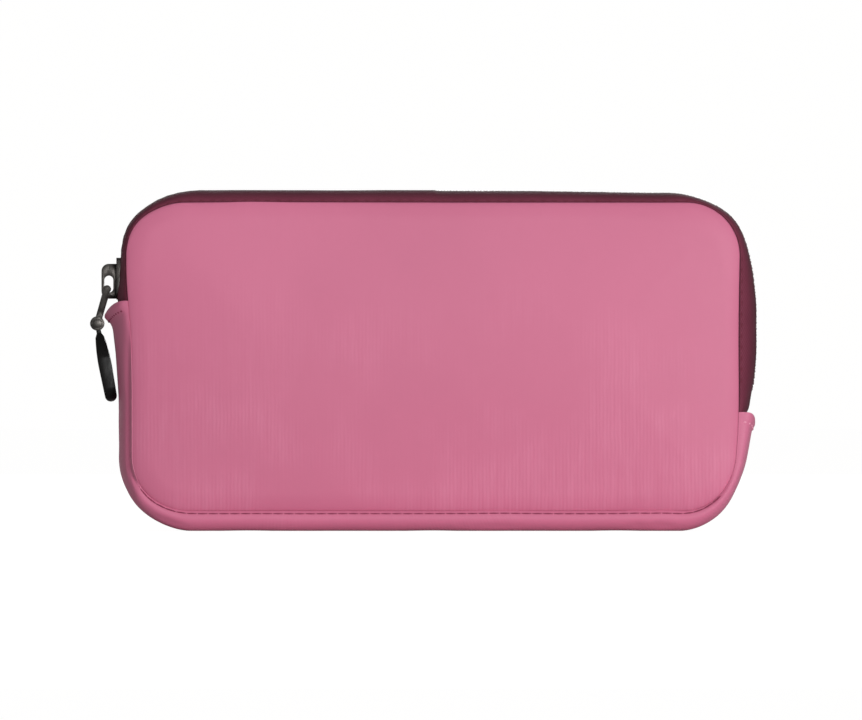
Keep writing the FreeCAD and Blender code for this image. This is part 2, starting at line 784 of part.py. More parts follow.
def pull_paddle():
    """The pull: a tongue on the rivet, a short neck and a long thick leaf, hollowed on both faces."""
    piece = body("pull_paddle")
    shoulder = "(-pullShoulder)"
    belly = "(-pullLength / 2 - pullShoulder / 2)"
    foot = "(-pullLength + pullFoot)"
    # side view of the leaf, between two long arcs and a round foot
    swell = "((pullLength * pullLength) / 16 / (pullHalf - pullShoulderHalf))"
    centred(piece, "XZ_Plane", "2 * pullWide", [
        ("-pullNeckHalf", "-pullNeck"),
        ("-pullShoulderHalf", shoulder, swell),
        ("-pullHalf", belly),
        ("-pullFoot", foot, "pullFoot"),
        ("0", "-pullLength", "pullFoot"),
        ("pullFoot", foot),
        ("pullHalf", belly, swell),
        ("pullShoulderHalf", shoulder),
        ("pullNeckHalf", "-pullNeck"),
    ])
    # seen from outside: a drop that widens to its round foot
    wide_z = "(-pullLength + pullWide)"
    around = box_outline("-4 * pullWide", "4 * pullWide", "-2 * pullLength", "pullLength")
    drop = [
        ("-pullNeckWide", "-pullNeck / 2"),
        ("-pullWideTop", shoulder, "pullLength"),
        ("-pullWide", wide_z, "pullWide"),
        ("0", "-pullLength", "pullWide"),
        ("pullWide", wide_z, "pullLength"),
        ("pullWideTop", shoulder),
        ("pullNeckWide", "-pullNeck / 2"),
    ]
    cut_centred(piece, "YZ_Plane", "4 * pullHalf", around, drop)
    # the neck and the tongue that the rivet passes through
    centred(piece, "XZ_Plane", "2 * tongueHalf",
            box_outline("-pullNeckHalf", "pullNeckHalf", "-pullShoulder", "0"))
    centred(piece, "XZ_Plane", "2 * tongueHalf", disc("0", "0", "pullEye"))
    cut_centred(piece, "XZ_Plane", "4 * tongueHalf", disc("0", "0", "(rivetRadius + pinClear)"))
    # the hollow in each face
    low_z = "(-pullLength + pullWide)"
    inner = "(pullWide - pullRim)"
    inner_top = "(pullWideTop - pullRim)"
    hollow_top = "(-pullShoulder - pullRim)"
    for side in (FRONT, BACK):
        sketch = sketch_on(piece, "YZ_Plane", depth_from_middle(side, "pullHalf - pullRecess"))
        draw(sketch, [
            (f"-{inner_top}", hollow_top, "pullLength"),
            (f"-{inner}", low_z, inner),
            ("0", f"{low_z} - {inner}", inner),
            (inner, low_z, "pullLength"),
            (inner_top, hollow_top),
        ])
        pocket(piece, sketch, "pullHalf", reverse=side == FRONT)
    return hang(piece, EYE_X, EYE_Z, "-pullLean * 1deg")


# ---------------------------------------------------------------- what is sewn inside

def elastic_loops():
    """A webbing band sewn to the back lining between loops that stand off it."""
    piece = body("elastic_loops")
    # seen from above: x along the band, y towards the back of the pouch
    wall = f"({LINING_FACE} - layerGap)"
    rise = "(loopHigh)"
    outer = "((loopWidth * loopWidth / 4 + loopHigh * loopHigh) / 2 / loopHigh)"
    inner = f"({outer} - loopThick)"
    drop = f"({outer} - loopHigh)"
    inner_half = f"sqrt({inner} * {inner} - {drop} * {drop})"
    outer_half = f"sqrt({outer} * {outer} - ({drop} + loopThick) * ({drop} + loopThick))"
    middle = "(loopStart + loopTab + loopWidth / 2)"
    sketch = sketch_on(piece, "XY_Plane", "loopLow")
    draw(sketch, [
        ("loopStart", wall),
        ("loopStart", f"{wall} - loopThick"),
        (f"{middle} - {outer_half}", f"{wall} - loopThick", outer),
        (middle, f"{wall} - {rise}", outer),
        (f"{middle} + {outer_half}", f"{wall} - loopThick"),
        ("loopStart + loopTab + loopWidth", f"{wall} - loopThick"),
        ("loopStart + loopTab + loopWidth", wall),
        (f"{middle} + {inner_half}", wall, f"-{inner}"),
        (middle, f"{wall} - {rise} + loopThick", f"-{inner}"),
        (f"{middle} - {inner_half}", wall),
    ])
    first = pad(piece, sketch, "loopTall")
    pattern = piece.newObject("PartDesign::LinearPattern", "Loops")
    pattern.Originals = [first]
    pattern.Direction = (plane(piece, "X_Axis"), [""])
    drive(pattern, "Length", "(loopCount - 1) * (loopWidth + loopTab)")
    drive(pattern, "Occurrences", "loopCount")
    piece.Tip = pattern
    doc.recompute()
    # the last tab, past the last loop
    end = "(loopStart + loopCount * (loopWidth + loopTab))"
    sketch = sketch_on(piece, "XY_Plane", "loopLow")
    draw(sketch, box_outline(end, f"{end} + loopTab", f"{wall} - loopThick", wall))
    pad(piece, sketch, "loopTall")
    return piece


def pocket_outline(inset, high):
    """The slip pocket's shape: the panel's lower corners, cut level at the top."""
    inset = f"({inset})"
    half = f"(panelWidth / 2 - pocketInset - {inset})"
    low = f"(panelLow + pocketInset + {inset})"
    corner = f"(panelLowRadius - pocketInset - {inset})"
    return [
        (f"-{half} + {corner}", low),
        (f"{half} - {corner}", low, corner),
        (half, f"{low} + {corner}"),
        (half, high),
        (f"-{half}", high),
        (f"-{half}", f"{low} + {corner}", corner),
    ]


def mesh_pocket():
    """A slip pocket on the front lining: a mesh face on a gathered wall sewn on three sides."""
    piece = body("mesh_pocket")
    wall = f"({LINING_FACE} - layerGap)"
    sketch = sketch_on(piece, "XZ_Plane", f"{wall} - pocketGap - pocketThick")
    draw(sketch, pocket_outline("0", "pocketHigh"))
    pad(piece, sketch, "pocketGap + pocketThick")
    sketch = sketch_on(piece, "XZ_Plane", f"{wall} - pocketGap")
    draw(sketch, pocket_outline("pocketSide", "pocketHigh + pocketRim"))
    pocket(piece, sketch, "pocketGap", reverse=True)
    return piece


def pocket_edging():
    """The elastic along the pocket's mouth."""
    piece = body("pocket_edging")
    wall = f"({LINING_FACE} - layerGap)"
    half = "(panelWidth / 2 - pocketInset)"
    sketch = sketch_on(piece, "XZ_Plane", f"{wall} - pocketGap - (pocketThick + pocketRimThick) / 2")
    draw(sketch, box_outline(f"-{half}", half, "pocketHigh", "pocketHigh + pocketRim"))
    pad(piece, sketch, "pocketRimThick")
    return piece


# ---------------------------------------------------------------- all pieces

PIECES = [
    panel_skin("back_panel", BACK, "whole"),
    panel_padding("back_padding", BACK, "whole"),
    panel_lining("back_lining", BACK, "whole"),
    seam_binding("back_binding", BACK, "whole"),
    panel_skin("front_panel_lower", FRONT, "lower"),
    panel_padding("front_padding_lower", FRONT, "lower"),
    panel_lining("front_lining_lower", FRONT, "lower"),
    seam_binding("front_binding_lower", FRONT, "lower"),
    panel_skin("front_panel_upper", FRONT, "upper"),
    panel_padding("front_padding_upper", FRONT, "upper"),
    panel_lining("front_lining_upper", FRONT, "upper"),
    seam_binding("front_binding_upper", FRONT, "upper"),
    gusset(),
    gusset_lining(),
    zip_tape("back_zip_tape", BACK),
    zip_tape("front_zip_tape", FRONT),
    zip_coil("back_zip_coil", BACK),
    zip_coil("front_zip_coil", FRONT, "run"),
    zip_coil("front_coil_end", FRONT, "end"),
    slider_body(),
    slider_bail(),
    pull_link(),
    pull_rivet(),
    pull_paddle(),
    elastic_loops(),
    mesh_pocket(),
    pocket_edging(),
]

doc.recompute()
for item in doc.Objects:
    if "Invalid" in item.State or "Error" in item.State:
        raise ValueError(f"{item.Name} ({item.Label}) could not be built")
for piece in PIECES:
    if piece.Shape.isNull() or not piece.Shape.isValid():
        raise ValueError(f"{piece.Label} has no valid shape")

os.makedirs("parts", exist_ok=True)
for piece in PIECES:
    piece.Shape.exportStep(f"parts/{piece.Label}.step")
    print(piece.Label, len(piece.Shape.Solids), round(piece.Shape.Volume, 1))
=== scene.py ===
import math
import bpy
import numpy as np
from mathutils import Matrix, Vector


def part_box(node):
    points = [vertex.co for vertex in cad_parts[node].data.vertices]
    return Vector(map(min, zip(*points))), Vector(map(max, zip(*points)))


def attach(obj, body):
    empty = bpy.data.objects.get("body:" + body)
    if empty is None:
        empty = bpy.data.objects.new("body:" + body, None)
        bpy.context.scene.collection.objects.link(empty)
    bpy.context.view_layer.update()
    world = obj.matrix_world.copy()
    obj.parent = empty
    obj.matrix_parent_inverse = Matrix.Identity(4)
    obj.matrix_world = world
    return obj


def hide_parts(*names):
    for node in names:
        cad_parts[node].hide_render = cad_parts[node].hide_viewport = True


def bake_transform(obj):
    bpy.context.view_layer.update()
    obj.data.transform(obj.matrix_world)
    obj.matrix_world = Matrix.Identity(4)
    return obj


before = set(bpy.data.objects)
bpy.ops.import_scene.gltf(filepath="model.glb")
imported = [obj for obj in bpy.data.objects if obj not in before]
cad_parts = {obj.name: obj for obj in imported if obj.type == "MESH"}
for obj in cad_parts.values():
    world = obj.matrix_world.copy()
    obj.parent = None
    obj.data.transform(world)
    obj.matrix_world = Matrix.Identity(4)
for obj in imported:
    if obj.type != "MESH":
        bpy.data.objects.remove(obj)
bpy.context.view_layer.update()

# A padded pouch with a wrap-round zip. Metres, +Z up, the front panel looks along -Y.
mm = 0.001
print("frame loaded")

# outlines of the pouch, measured on the frame

frontLow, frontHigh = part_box("front_panel_lower"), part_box("front_panel_upper")
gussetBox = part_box("lower_gusset")
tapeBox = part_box("back_zip_tape")

shape = {
    "seamDepth": gussetBox[1][1],             # from the middle to the seam, front and back
    "cornerRadius": 18 * mm,                  # the panels' corners
    "tapeRadius": 28.4 * mm,                  # the band's upper corners
    "gussetRadius": 24.5 * mm,                # the band's lower corners
    "foldLeft": 75.7 * mm,                    # height of the zip's two ends
    "foldRight": 39.1 * mm,
    "foldReach": 6 * mm,                      # the cloth bends this far each way from the fold
    "gussetThick": 1.2 * mm,
    "rightLean": (1.9 * mm, 1.9 * mm, 15 * mm, 17 * mm),   # at the seam, more at the crown, height, spread
    "rightSlim": (1.1 * mm, 62 * mm, 44 * mm),             # the seam draws in beside the zip
    "leftFull": (2.0 * mm, 88 * mm, 20 * mm),              # the seam stands out at the upper left
    "leanFrom": 60 * mm,
    "leanTo": 95 * mm,
    "cornerFull": (3.3 * mm, 38, 24, 34),     # the upper left crown: how far out, at which angle, its spreads
    "seamFull": (0.8 * mm, 35, 22, 22),       # and its seam
    "rightFull": (1.3 * mm, 42, 18, 18),      # the upper right crown
    "sliderHalf": 5.6 * mm,                   # beside the middle, where the slider leaves no room for that
    "crownRise": 0.9 * mm,                    # the zip's tape stands this far out along the top
    "crownSide": 0.75 * mm,                   # and this far at the sides' upper ends
    "crownRight": (1.3 * mm, 38 * mm, 62 * mm, 72 * mm, 90 * mm),   # more at the right, over these heights
    "crownLeft": (1.6 * mm, 76 * mm, 88 * mm),    # and beside the slider, down to the zip's left end
    "crownTop": (96 * mm, 110 * mm, 0.7, 20 * mm, 80 * mm),    # its heights, what it loses, to the right
    "crownFrom": (60 * mm, 96 * mm),          # from the middle, where the sides' crown begins and is full
    "crownSideUp": (38 * mm, 52 * mm),
    "crownSideLeft": (80 * mm, 100 * mm),
    "sliderRoom": (0.6, 14, 40, 50, 76),      # what is left of a corner there, and between which angles
    "middle": (0, 0, 50 * mm),                # outsides look away from here, and the lamps towards it
    "floorGap": 0.03 * mm,
}
seam = {"half": frontLow[1][0], "low": frontLow[0][2], "high": frontHigh[1][2],
        "topRadius": shape["cornerRadius"], "lowRadius": shape["cornerRadius"]}
gussetCrown = {"half": gussetBox[1][0], "low": 0.0, "high": tapeBox[1][2],
               "topRadius": shape["tapeRadius"], "lowRadius": shape["gussetRadius"]}
tapeCrown = dict(gussetCrown, half=tapeBox[1][0])


def mixed(first, second, share, floorShare=None):
    # an outline between two others; the floor may follow its own share
    low = share if floorShare is None else floorShare
    shares = {"half": share, "high": share, "topRadius": share, "low": low, "lowRadius": low}
    return {key: first[key] + (second[key] - first[key]) * shares[key] for key in first}


def shrunk(outline, inset):
    return {"half": outline["half"] - inset, "low": outline["low"] + inset, "high": outline["high"] - inset,
            "topRadius": outline["topRadius"] - inset, "lowRadius": outline["lowRadius"] - inset}


def distanceAlong(line):
    return np.concatenate([[0], np.cumsum(np.linalg.norm(np.diff(line, axis=0), axis=1))])


def signedPower(values, power):
    return np.sign(values) * np.abs(values) ** power


def toDisc(cornerX, cornerZ):
    # a square cell's corner drawn in to a quarter disc
    return cornerX * np.sqrt(1 - cornerZ ** 2 / 2), cornerZ * np.sqrt(1 - cornerX ** 2 / 2)


def outlineLine(outline, arcSteps=32):
    # from the middle of the bottom to the right and once round, with the distance run so far
    def arc(x, z, radius, start):
        turn = np.radians(np.linspace(start, start + 90, arcSteps))
        return np.stack([x + radius * np.cos(turn), z + radius * np.sin(turn)], 1)
    half, low, high = outline["half"], outline["low"], outline["high"]
    top, bottom = outline["topRadius"], outline["lowRadius"]
    line = np.concatenate([[[0, low]], arc(half - bottom, low + bottom, bottom, -90),
                           arc(half - top, high - top, top, 0), arc(top - half, high - top, top, 90),
                           arc(bottom - half, low + bottom, bottom, 180), [[0, low]]])
    run = distanceAlong(line)
    return line, run, run[arcSteps], run[3 * arcSteps]


def alongOutline(outline, fractions, way, ends=(0.0, 0.0)):
    # points and outward directions; way is "over" or "under", between two heights, or "round"
    line, run, rightLow, leftTop = outlineLine(outline)
    right = rightLow + ends[1] - outline["low"] - outline["lowRadius"]
    left = leftTop + outline["high"] - outline["topRadius"] - ends[0]
    if way == "over":
        spots = left + (right - left) * fractions
    elif way == "under":
        spots = left + (right + run[-1] - left) * fractions
    else:
        spots = run[-1] * fractions
    spots = np.clip(spots, 0, run[-1]) if way == "round" else np.mod(spots, run[-1])
    step = 0.3 * mm
    near = [np.stack([np.interp(np.mod(spots + shift, run[-1]), run, line[:, axis]) for axis in (0, 1)], 1)
            for shift in (-step, step)]
    tangent = near[1] - near[0]
    outward = np.stack([tangent[:, 1], -tangent[:, 0]], 1)
    outward /= np.maximum(np.linalg.norm(outward, axis=1, keepdims=True), 1e-9)
    return np.stack([np.interp(spots, run, line[:, axis]) for axis in (0, 1)], 1), outward


def smooth(values, start, end):
    part = np.clip((values - start) / (end - start), 0, 1)
    return part * part * (3 - 2 * part)


def bell(values, middle, spread):
    return np.exp(-((values - middle) / spread) ** 2)


def settled(x, z, share):
    # how the filled pouch leans: in at the lower right, out at the upper left seam
    seamLean, crownLean, height, spread = shape["rightLean"]
    side = smooth(np.abs(x), shape["leanFrom"], shape["leanTo"])
    lean = (seamLean + crownLean * share) * bell(z, height, spread) * side * (x > 0)
    slim, slimHeight, slimSpread = shape["rightSlim"]
    lean = lean + slim * (1 - share) * bell(z, slimHeight, slimSpread) * side * (x > 0)
    full, fullHeight, fullSpread = shape["leftFull"]
    out = full * (1 - share) * bell(z, fullHeight, fullSpread) * side * (x < 0)
    return x - lean - out


def cornerAngle(outward):
    # degrees above the horizontal, the same to the left and to the right
    return np.degrees(np.arctan2(outward[:, 1], np.abs(outward[:, 0])))


def angleBell(outward, size):
    # largest where a corner's outward direction is at the size's own angle
    amount, middle, below, above = size
    angle = cornerAngle(outward)
    return amount * bell(angle, middle, np.where(angle < middle, below, above)) * (outward[:, 1] > 0.02)


def fuller(outward, x, share, depth):
    # the filled pouch's upper corners stand out past the run that the slider follows
    left = angleBell(outward, shape["cornerFull"]) * share
    left = left + angleBell(outward, shape["seamFull"]) * (1 - share)
    right = angleBell(outward, shape["rightFull"]) * share
    angle = cornerAngle(outward)
    kept, low, full, fading, high = shape["sliderRoom"]
    room = 1.0
    if abs(depth) <= shape["sliderHalf"]:
        room = smooth(angle, low, full) * (1 - smooth(angle, fading, high)) * kept
    return np.where(x < 0, left * room, right)


def ripple(x, y, z, size, seed=0.0):
    # a slow uneven wave between about -1 and 1, the same at every run
    a, b, c = x / size, y / size, z / size
    return (np.sin(a * 1.7 + b * 0.9 + seed) * np.cos(c * 1.3 - a * 0.6 + seed * 2)
            + 0.6 * np.sin(c * 2.9 + b * 2.1 + seed * 3) * np.cos(a * 2.3 + seed)) / 1.6


# making and finishing meshes

def deselectAll():
    if bpy.context.object and bpy.context.object.mode != "OBJECT":
        bpy.ops.object.mode_set(mode="OBJECT")
    bpy.ops.object.select_all(action="DESELECT")


def makeActive(piece):
    deselectAll()
    piece.select_set(True)
    bpy.context.view_layer.objects.active = piece


def points(piece):
    flat = np.empty(len(piece.data.vertices) * 3)
    piece.data.vertices.foreach_get("co", flat)
    return flat.reshape(-1, 3)


def movePoints(piece, spots):
    piece.data.vertices.foreach_set("co", np.ascontiguousarray(spots, dtype=float).ravel())
    piece.data.update()


def applyModifier(piece, kind, **values):
    makeActive(piece)
    modifier = piece.modifiers.new(kind.title(), kind)
    for name, value in values.items():
        setattr(modifier, name, value)
    bpy.ops.object.modifier_apply(modifier=modifier.name)


def editAll(piece):
    makeActive(piece)
    bpy.ops.object.mode_set(mode="EDIT")
    bpy.ops.mesh.select_all(action="SELECT")


def smoothShade(piece, angle=60):
    makeActive(piece)
    bpy.ops.object.shade_smooth_by_angle(angle=math.radians(angle))


def grid(name, along, across, place, uvSize=(1.0, 1.0)):
    # a grid primitive whose points are laid out by place(along, across), both 0 to 1; its UVs are in metres
    deselectAll()
    bpy.ops.mesh.primitive_grid_add(x_subdivisions=along, y_subdivisions=across, size=1)
    piece = bpy.context.object
    piece.name = piece.data.name = name
    spots = points(piece)
    movePoints(piece, place(spots[:, 0] + 0.5, spots[:, 1] + 0.5))
    layer = piece.data.uv_layers.active.data
    flat = np.empty(len(layer) * 2)
    layer.foreach_get("uv", flat)
    flat = flat.reshape(-1, 2) * np.array(uvSize)
    layer.foreach_set("uv", flat.ravel())
    return piece


def faceAway(piece):
    # turns the faces of an open cloth so that they look away from the pouch's middle
    middle = Vector(shape["middle"])
    if sum(face.area * face.normal.dot(face.center - middle) for face in piece.data.polygons) < 0:
        piece.data.flip_normals()


def thicken(piece, thick, offset=-1):
    applyModifier(piece, "SOLIDIFY", thickness=thick, offset=offset, use_even_offset=False)


def give(piece, finish, body=None, slot=None, replaced=()):
    piece.data.materials.clear()
    piece.data.materials.append(finish)
    if body:
        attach(piece, body)
    if replaced:
        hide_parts(*replaced)
    return piece


def bendsAtFold(piece):
    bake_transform(piece)


# colours and materials

def srgb(red, green, blue):
    def linear(value):
        part = value / 255
        return part / 12.92 if part <= 0.04045 else ((part + 0.055) / 1.055) ** 2.4
    return (linear(red), linear(green), linear(blue), 1.0)


def effectGroup(name, inputs):
    # takes a place, a colour and its own inputs, and gives colour, height and roughness
    tree = bpy.data.node_groups.new(name, "ShaderNodeTree")
    for label, kind, value in [("Vector", "Vector", None), ("Colour", "Color", (1, 1, 1, 1))] + inputs:
        socket = tree.interface.new_socket(label, in_out="INPUT", socket_type="NodeSocket" + kind)
        if value is not None:
            socket.default_value = value
    for label, kind in (("Colour", "Color"), ("Height", "Float"), ("Roughness", "Float")):
        tree.interface.new_socket(label, in_out="OUTPUT", socket_type="NodeSocket" + kind)
    return tree, tree.nodes.new("NodeGroupInput").outputs, tree.nodes.new("NodeGroupOutput").inputs


def deliver(tree, out, colour, height, roughness):
    for label, source in (("Colour", colour), ("Height", height), ("Roughness", roughness)):
        tree.links.new(source, out[label])
    return tree


def node(tree, kind, links=None, **values):
    # links feed sockets by name or number, values set the node's own properties
    made = tree.nodes.new("ShaderNode" + kind)
    for name, value in values.items():
        setattr(made, name, value)
    for socket, source in (links or {}).items():
        target = made.inputs[socket]
        if hasattr(source, "is_linked"):
            tree.links.new(source, target)
        else:
            target.default_value = source
    return made


def maths(tree, operation, first, second=0.0, third=0.0):
    return node(tree, "Math", {0: first, 1: second, 2: third}, operation=operation).outputs[0]


def mixColour(tree, share, first, second, kind="MIX"):
    made = node(tree, "Mix", {0: share, 6: first, 7: second}, data_type="RGBA", blend_type=kind)
    return made.outputs[2]


def product(tree, *factors):
    made = factors[0]
    for factor in factors[1:]:
        made = maths(tree, "MULTIPLY", made, factor)
    return made


def noise(tree, spots, scale, detail, roughness=0.5):
    return node(tree, "TexNoise", {"Vector": spots, "Scale": scale, "Detail": detail,
                                   "Roughness": roughness}).outputs[0]


def mapped(tree, value, low=0.0, high=1.0, newLow=0.0, newHigh=1.0):
    return node(tree, "MapRange", {0: value, 1: low, 2: high, 3: newLow, 4: newHigh}).outputs[0]


ribLook = {
    "sway": (90.0, 0.7),         # a slow noise's scale, and how far it moves a rib, in ribs
    "streakScale": (520.0, 40.0, 45.0),       # across the ribs, in depth and along them
    "streakRough": 0.6,
    "streaks": (0.42, 0.7),      # the noise's values where a streak begins and is full
    "patchScale": 30.0,
    "patches": (0.42, 0.6),
    "fade": 50 * mm,
    "leastShown": 0.06,
    "cloudScale": 14.0,
    "clouds": (0.3, 0.7, 0.965, 1.03),        # the noise's values, and the brightness at each
    "height": 0.4,
    "weaveScale": 1500.0,
    "weaveHeight": 0.5,
    "rough": (0.46, 0.62),
}


def makeRibbedCloth():
    # upright ribs broken into short streaks, over a fine weave
    tree, given, out = effectGroup("ribbedCloth", [("Streak", "Color", (1, 1, 1, 1)),
                                                   ("Pitch", "Float", 1.2 * mm), ("Strength", "Float", 0.5),
                                                   ("Plain", "Float", 1.0), ("Deeper", "Float", 0.0)])
    spots = given["Vector"]
    apart = node(tree, "SeparateXYZ", {0: spots}).outputs
    swayScale, sway = ribLook["sway"]
    ribs = maths(tree, "DIVIDE", apart[0], given["Pitch"])
    ribs = maths(tree, "ADD", ribs, product(tree, noise(tree, spots, swayScale, 2.0), sway))
    ribWave = maths(tree, "SINE", product(tree, ribs, 2 * math.pi))
    long = node(tree, "CombineXYZ", {axis: product(tree, apart[axis], scale)
                                     for axis, scale in enumerate(ribLook["streakScale"])}).outputs[0]
    streak = mapped(tree, noise(tree, long, 1.0, 3.0, ribLook["streakRough"]), *ribLook["streaks"])
    patch = mapped(tree, noise(tree, spots, ribLook["patchScale"], 2.0), *ribLook["patches"])
    # the ribs, and the painted shade low on the panel, fade out towards the height where the cloth looks
    # plain
    belowPlain = maths(tree, "DIVIDE", maths(tree, "SUBTRACT", given["Plain"], apart[2]), ribLook["fade"])
    low = mapped(tree, belowPlain, newLow=ribLook["leastShown"])
    strength = product(tree, given["Strength"], low)
    ribShade = product(tree, maths(tree, "MULTIPLY_ADD", ribWave, 0.5, 0.5),
                       product(tree, strength, maths(tree, "MULTIPLY_ADD", patch, 0.5, 0.02)))
    shade = maths(tree, "ADD", product(tree, streak, patch, strength), ribShade)
    cloudy = mapped(tree, noise(tree, spots, ribLook["cloudScale"], 4.0), *ribLook["clouds"])
    bright = node(tree, "CombineColor", {0: cloudy, 1: cloudy, 2: cloudy}).outputs[0]
    tone = mixColour(tree, shade, given["Colour"], given["Streak"])
    tone = mixColour(tree, 1.0, tone, bright, "MULTIPLY")
    # painted shade: below the height where the cloth looks plain, its colour is multiplied darker towards the
    # bottom
    tone = mixColour(tree, product(tree, low, given["Deeper"]), tone, given["Colour"], "MULTIPLY")
    ribHeight = product(tree, product(tree, ribWave, ribLook["height"]), product(tree, low, patch))
    height = maths(tree, "ADD", ribHeight, product(tree, streak, ribLook["height"], low))
    weave = noise(tree, spots, ribLook["weaveScale"], 2.0)
    height = maths(tree, "MULTIPLY_ADD", weave, ribLook["weaveHeight"], height)
    return deliver(tree, out, tone, height, mapped(tree, weave, 0.0, 1.0, *ribLook["rough"]))


weaveLook = {
    "wornScale": 60.0,
    "worn": (0.3, 0.7, 0.25, 0.75),           # the noise's values, and how dark the gaps are there
    "darkest": 0.75,             # how near to black the painted shade comes
    "fuzzScale": 700.0,
    "fuzzHeight": 0.6,
    "rough": (0.6, 0.8),
}


def makeWovenBand():
    # a woven band read along its own UV map: u along the band, v across it
    tree, given, out = effectGroup("wovenBand", [("Shadow", "Color", (0, 0, 0, 1)),
                                                 ("Along", "Float", 0.9 * mm), ("Across", "Float", 0.8 * mm),
                                                 ("SewnEdge", "Float", 0.0), ("Crown", "Float", 1.0),
                                                 ("Deep", "Float", 0.0)])
    apart = node(tree, "SeparateXYZ", {0: given["Vector"]}).outputs
    turns = [maths(tree, "DIVIDE", apart[axis], given[pitch])
             for axis, pitch in ((0, "Along"), (1, "Across"))]
    warp, weft = (maths(tree, "SINE", product(tree, turn, math.pi)) for turn in turns)
    dots = maths(tree, "MULTIPLY_ADD", product(tree, warp, weft), 0.5, 0.5)
    worn = mapped(tree, noise(tree, given["Vector"], weaveLook["wornScale"], 3.0), *weaveLook["worn"])
    # painted shade: darker within the sewn edge, a painted seam shadow, and towards the crown, painted shade
    # where the tape turns away from the light; both measured across the band
    sewn = mapped(tree, apart[1], 0.0, given["SewnEdge"], 1.0, 0.0)
    crown = mapped(tree, apart[1], 0.0, given["Crown"])
    deep = product(tree, maths(tree, "MAXIMUM", product(tree, crown, crown), sewn), given["Deep"])
    tone = mixColour(tree, product(tree, maths(tree, "SUBTRACT", 1.0, dots), worn), given["Colour"],
                     given["Shadow"])
    dark = mixColour(tree, weaveLook["darkest"], given["Shadow"], (0.0, 0.0, 0.0, 1.0))
    fuzz = noise(tree, given["Vector"], weaveLook["fuzzScale"], 3.0)
    height = maths(tree, "MULTIPLY_ADD", fuzz, weaveLook["fuzzHeight"], dots)
    return deliver(tree, out, mixColour(tree, deep, tone, dark), height,
                   mapped(tree, fuzz, 0.0, 1.0, *weaveLook["rough"]))


metalLook = {
    "stretch": 0.12,             # fine scratches run upright
    "lineScale": 2600.0,
    "cloudScale": 240.0,
    "clouds": (0.35, 0.7),
    "rough": (0.3, 0.7, 0.24, 0.42),
}


def makeWornMetal():
    # fine scratches and a cloudy finish
    tree, given, out = effectGroup("wornMetal", [("Bright", "Color", (1, 1, 1, 1))])
    apart = node(tree, "SeparateXYZ", {0: given["Vector"]}).outputs
    brushed = node(tree, "CombineXYZ", {0: apart[0], 1: apart[1],
                                        2: product(tree, apart[2], metalLook["stretch"])}).outputs[0]
    lines = noise(tree, brushed, metalLook["lineScale"], 3.0)
    cloud = noise(tree, given["Vector"], metalLook["cloudScale"], 4.0)
    tone = mixColour(tree, mapped(tree, cloud, *metalLook["clouds"]), given["Colour"], given["Bright"])
    height = maths(tree, "ADD", lines, cloud)
    return deliver(tree, out, tone, height, mapped(tree, lines, *metalLook["rough"]))


effects = {"ribbedCloth": makeRibbedCloth(), "wovenBand": makeWovenBand(), "wornMetal": makeWornMetal()}
finishes = {}


def material(name, effect, values, bump, shader, useUv=False):
    # one finish: an effect group feeds colour, roughness and bump, which has a height and a strength
    made = bpy.data.materials.new(name)
    made.use_nodes = True
    tree = made.node_tree
    principled = tree.nodes["Principled BSDF"]
    spots = node(tree, "TexCoord").outputs["UV" if useUv else "Object"]
    effectNode = node(tree, "Group", node_tree=effects[effect])
    given, out = effectNode.inputs, effectNode.outputs
    for socket, value in values.items():
        given[socket].default_value = value
    relief = node(tree, "Bump", {"Distance": bump[0], "Strength": bump[1], "Height": out["Height"]})
    for source, target in ((spots, given["Vector"]), (out["Colour"], principled.inputs["Base Color"]),
                           (out["Roughness"], principled.inputs["Roughness"]),
                           (relief.outputs[0], principled.inputs["Normal"])):
        tree.links.new(source, target)
    for socket, value in shader.items():
        principled.inputs[socket].default_value = value
    finishes[name] = made


def woven(name, colour, shadow, pitch, bump, specular, sheen=0.0, useUv=True, **values):
    # pitch is that of the threads, along the band and across it
    values.update(Colour=srgb(*colour), Shadow=srgb(*shadow), Along=pitch[0], Across=pitch[1])
    material(name, "wovenBand", values, bump, {"Specular IOR Level": specular, "Sheen Weight": sheen}, useUv)


pink = {"Colour": srgb(197, 108, 138), "Streak": srgb(214, 134, 162), "Pitch": 1.2 * mm}
softSheen = {"Sheen Weight": 0.06, "Sheen Roughness": 0.5, "Sheen Tint": srgb(255, 190, 212),
             "Specular IOR Level": 0.3}
# the panel's cloth gets painted shade low down, darker towards the bottom
material("panelCloth", "ribbedCloth", dict(pink, Strength=0.23, Plain=86 * mm, Deeper=0.06),
         (0.07 * mm, 0.3), softSheen)
material("gussetCloth", "ribbedCloth", dict(pink, Strength=0.1), (0.05 * mm, 0.3), softSheen, useUv=True)
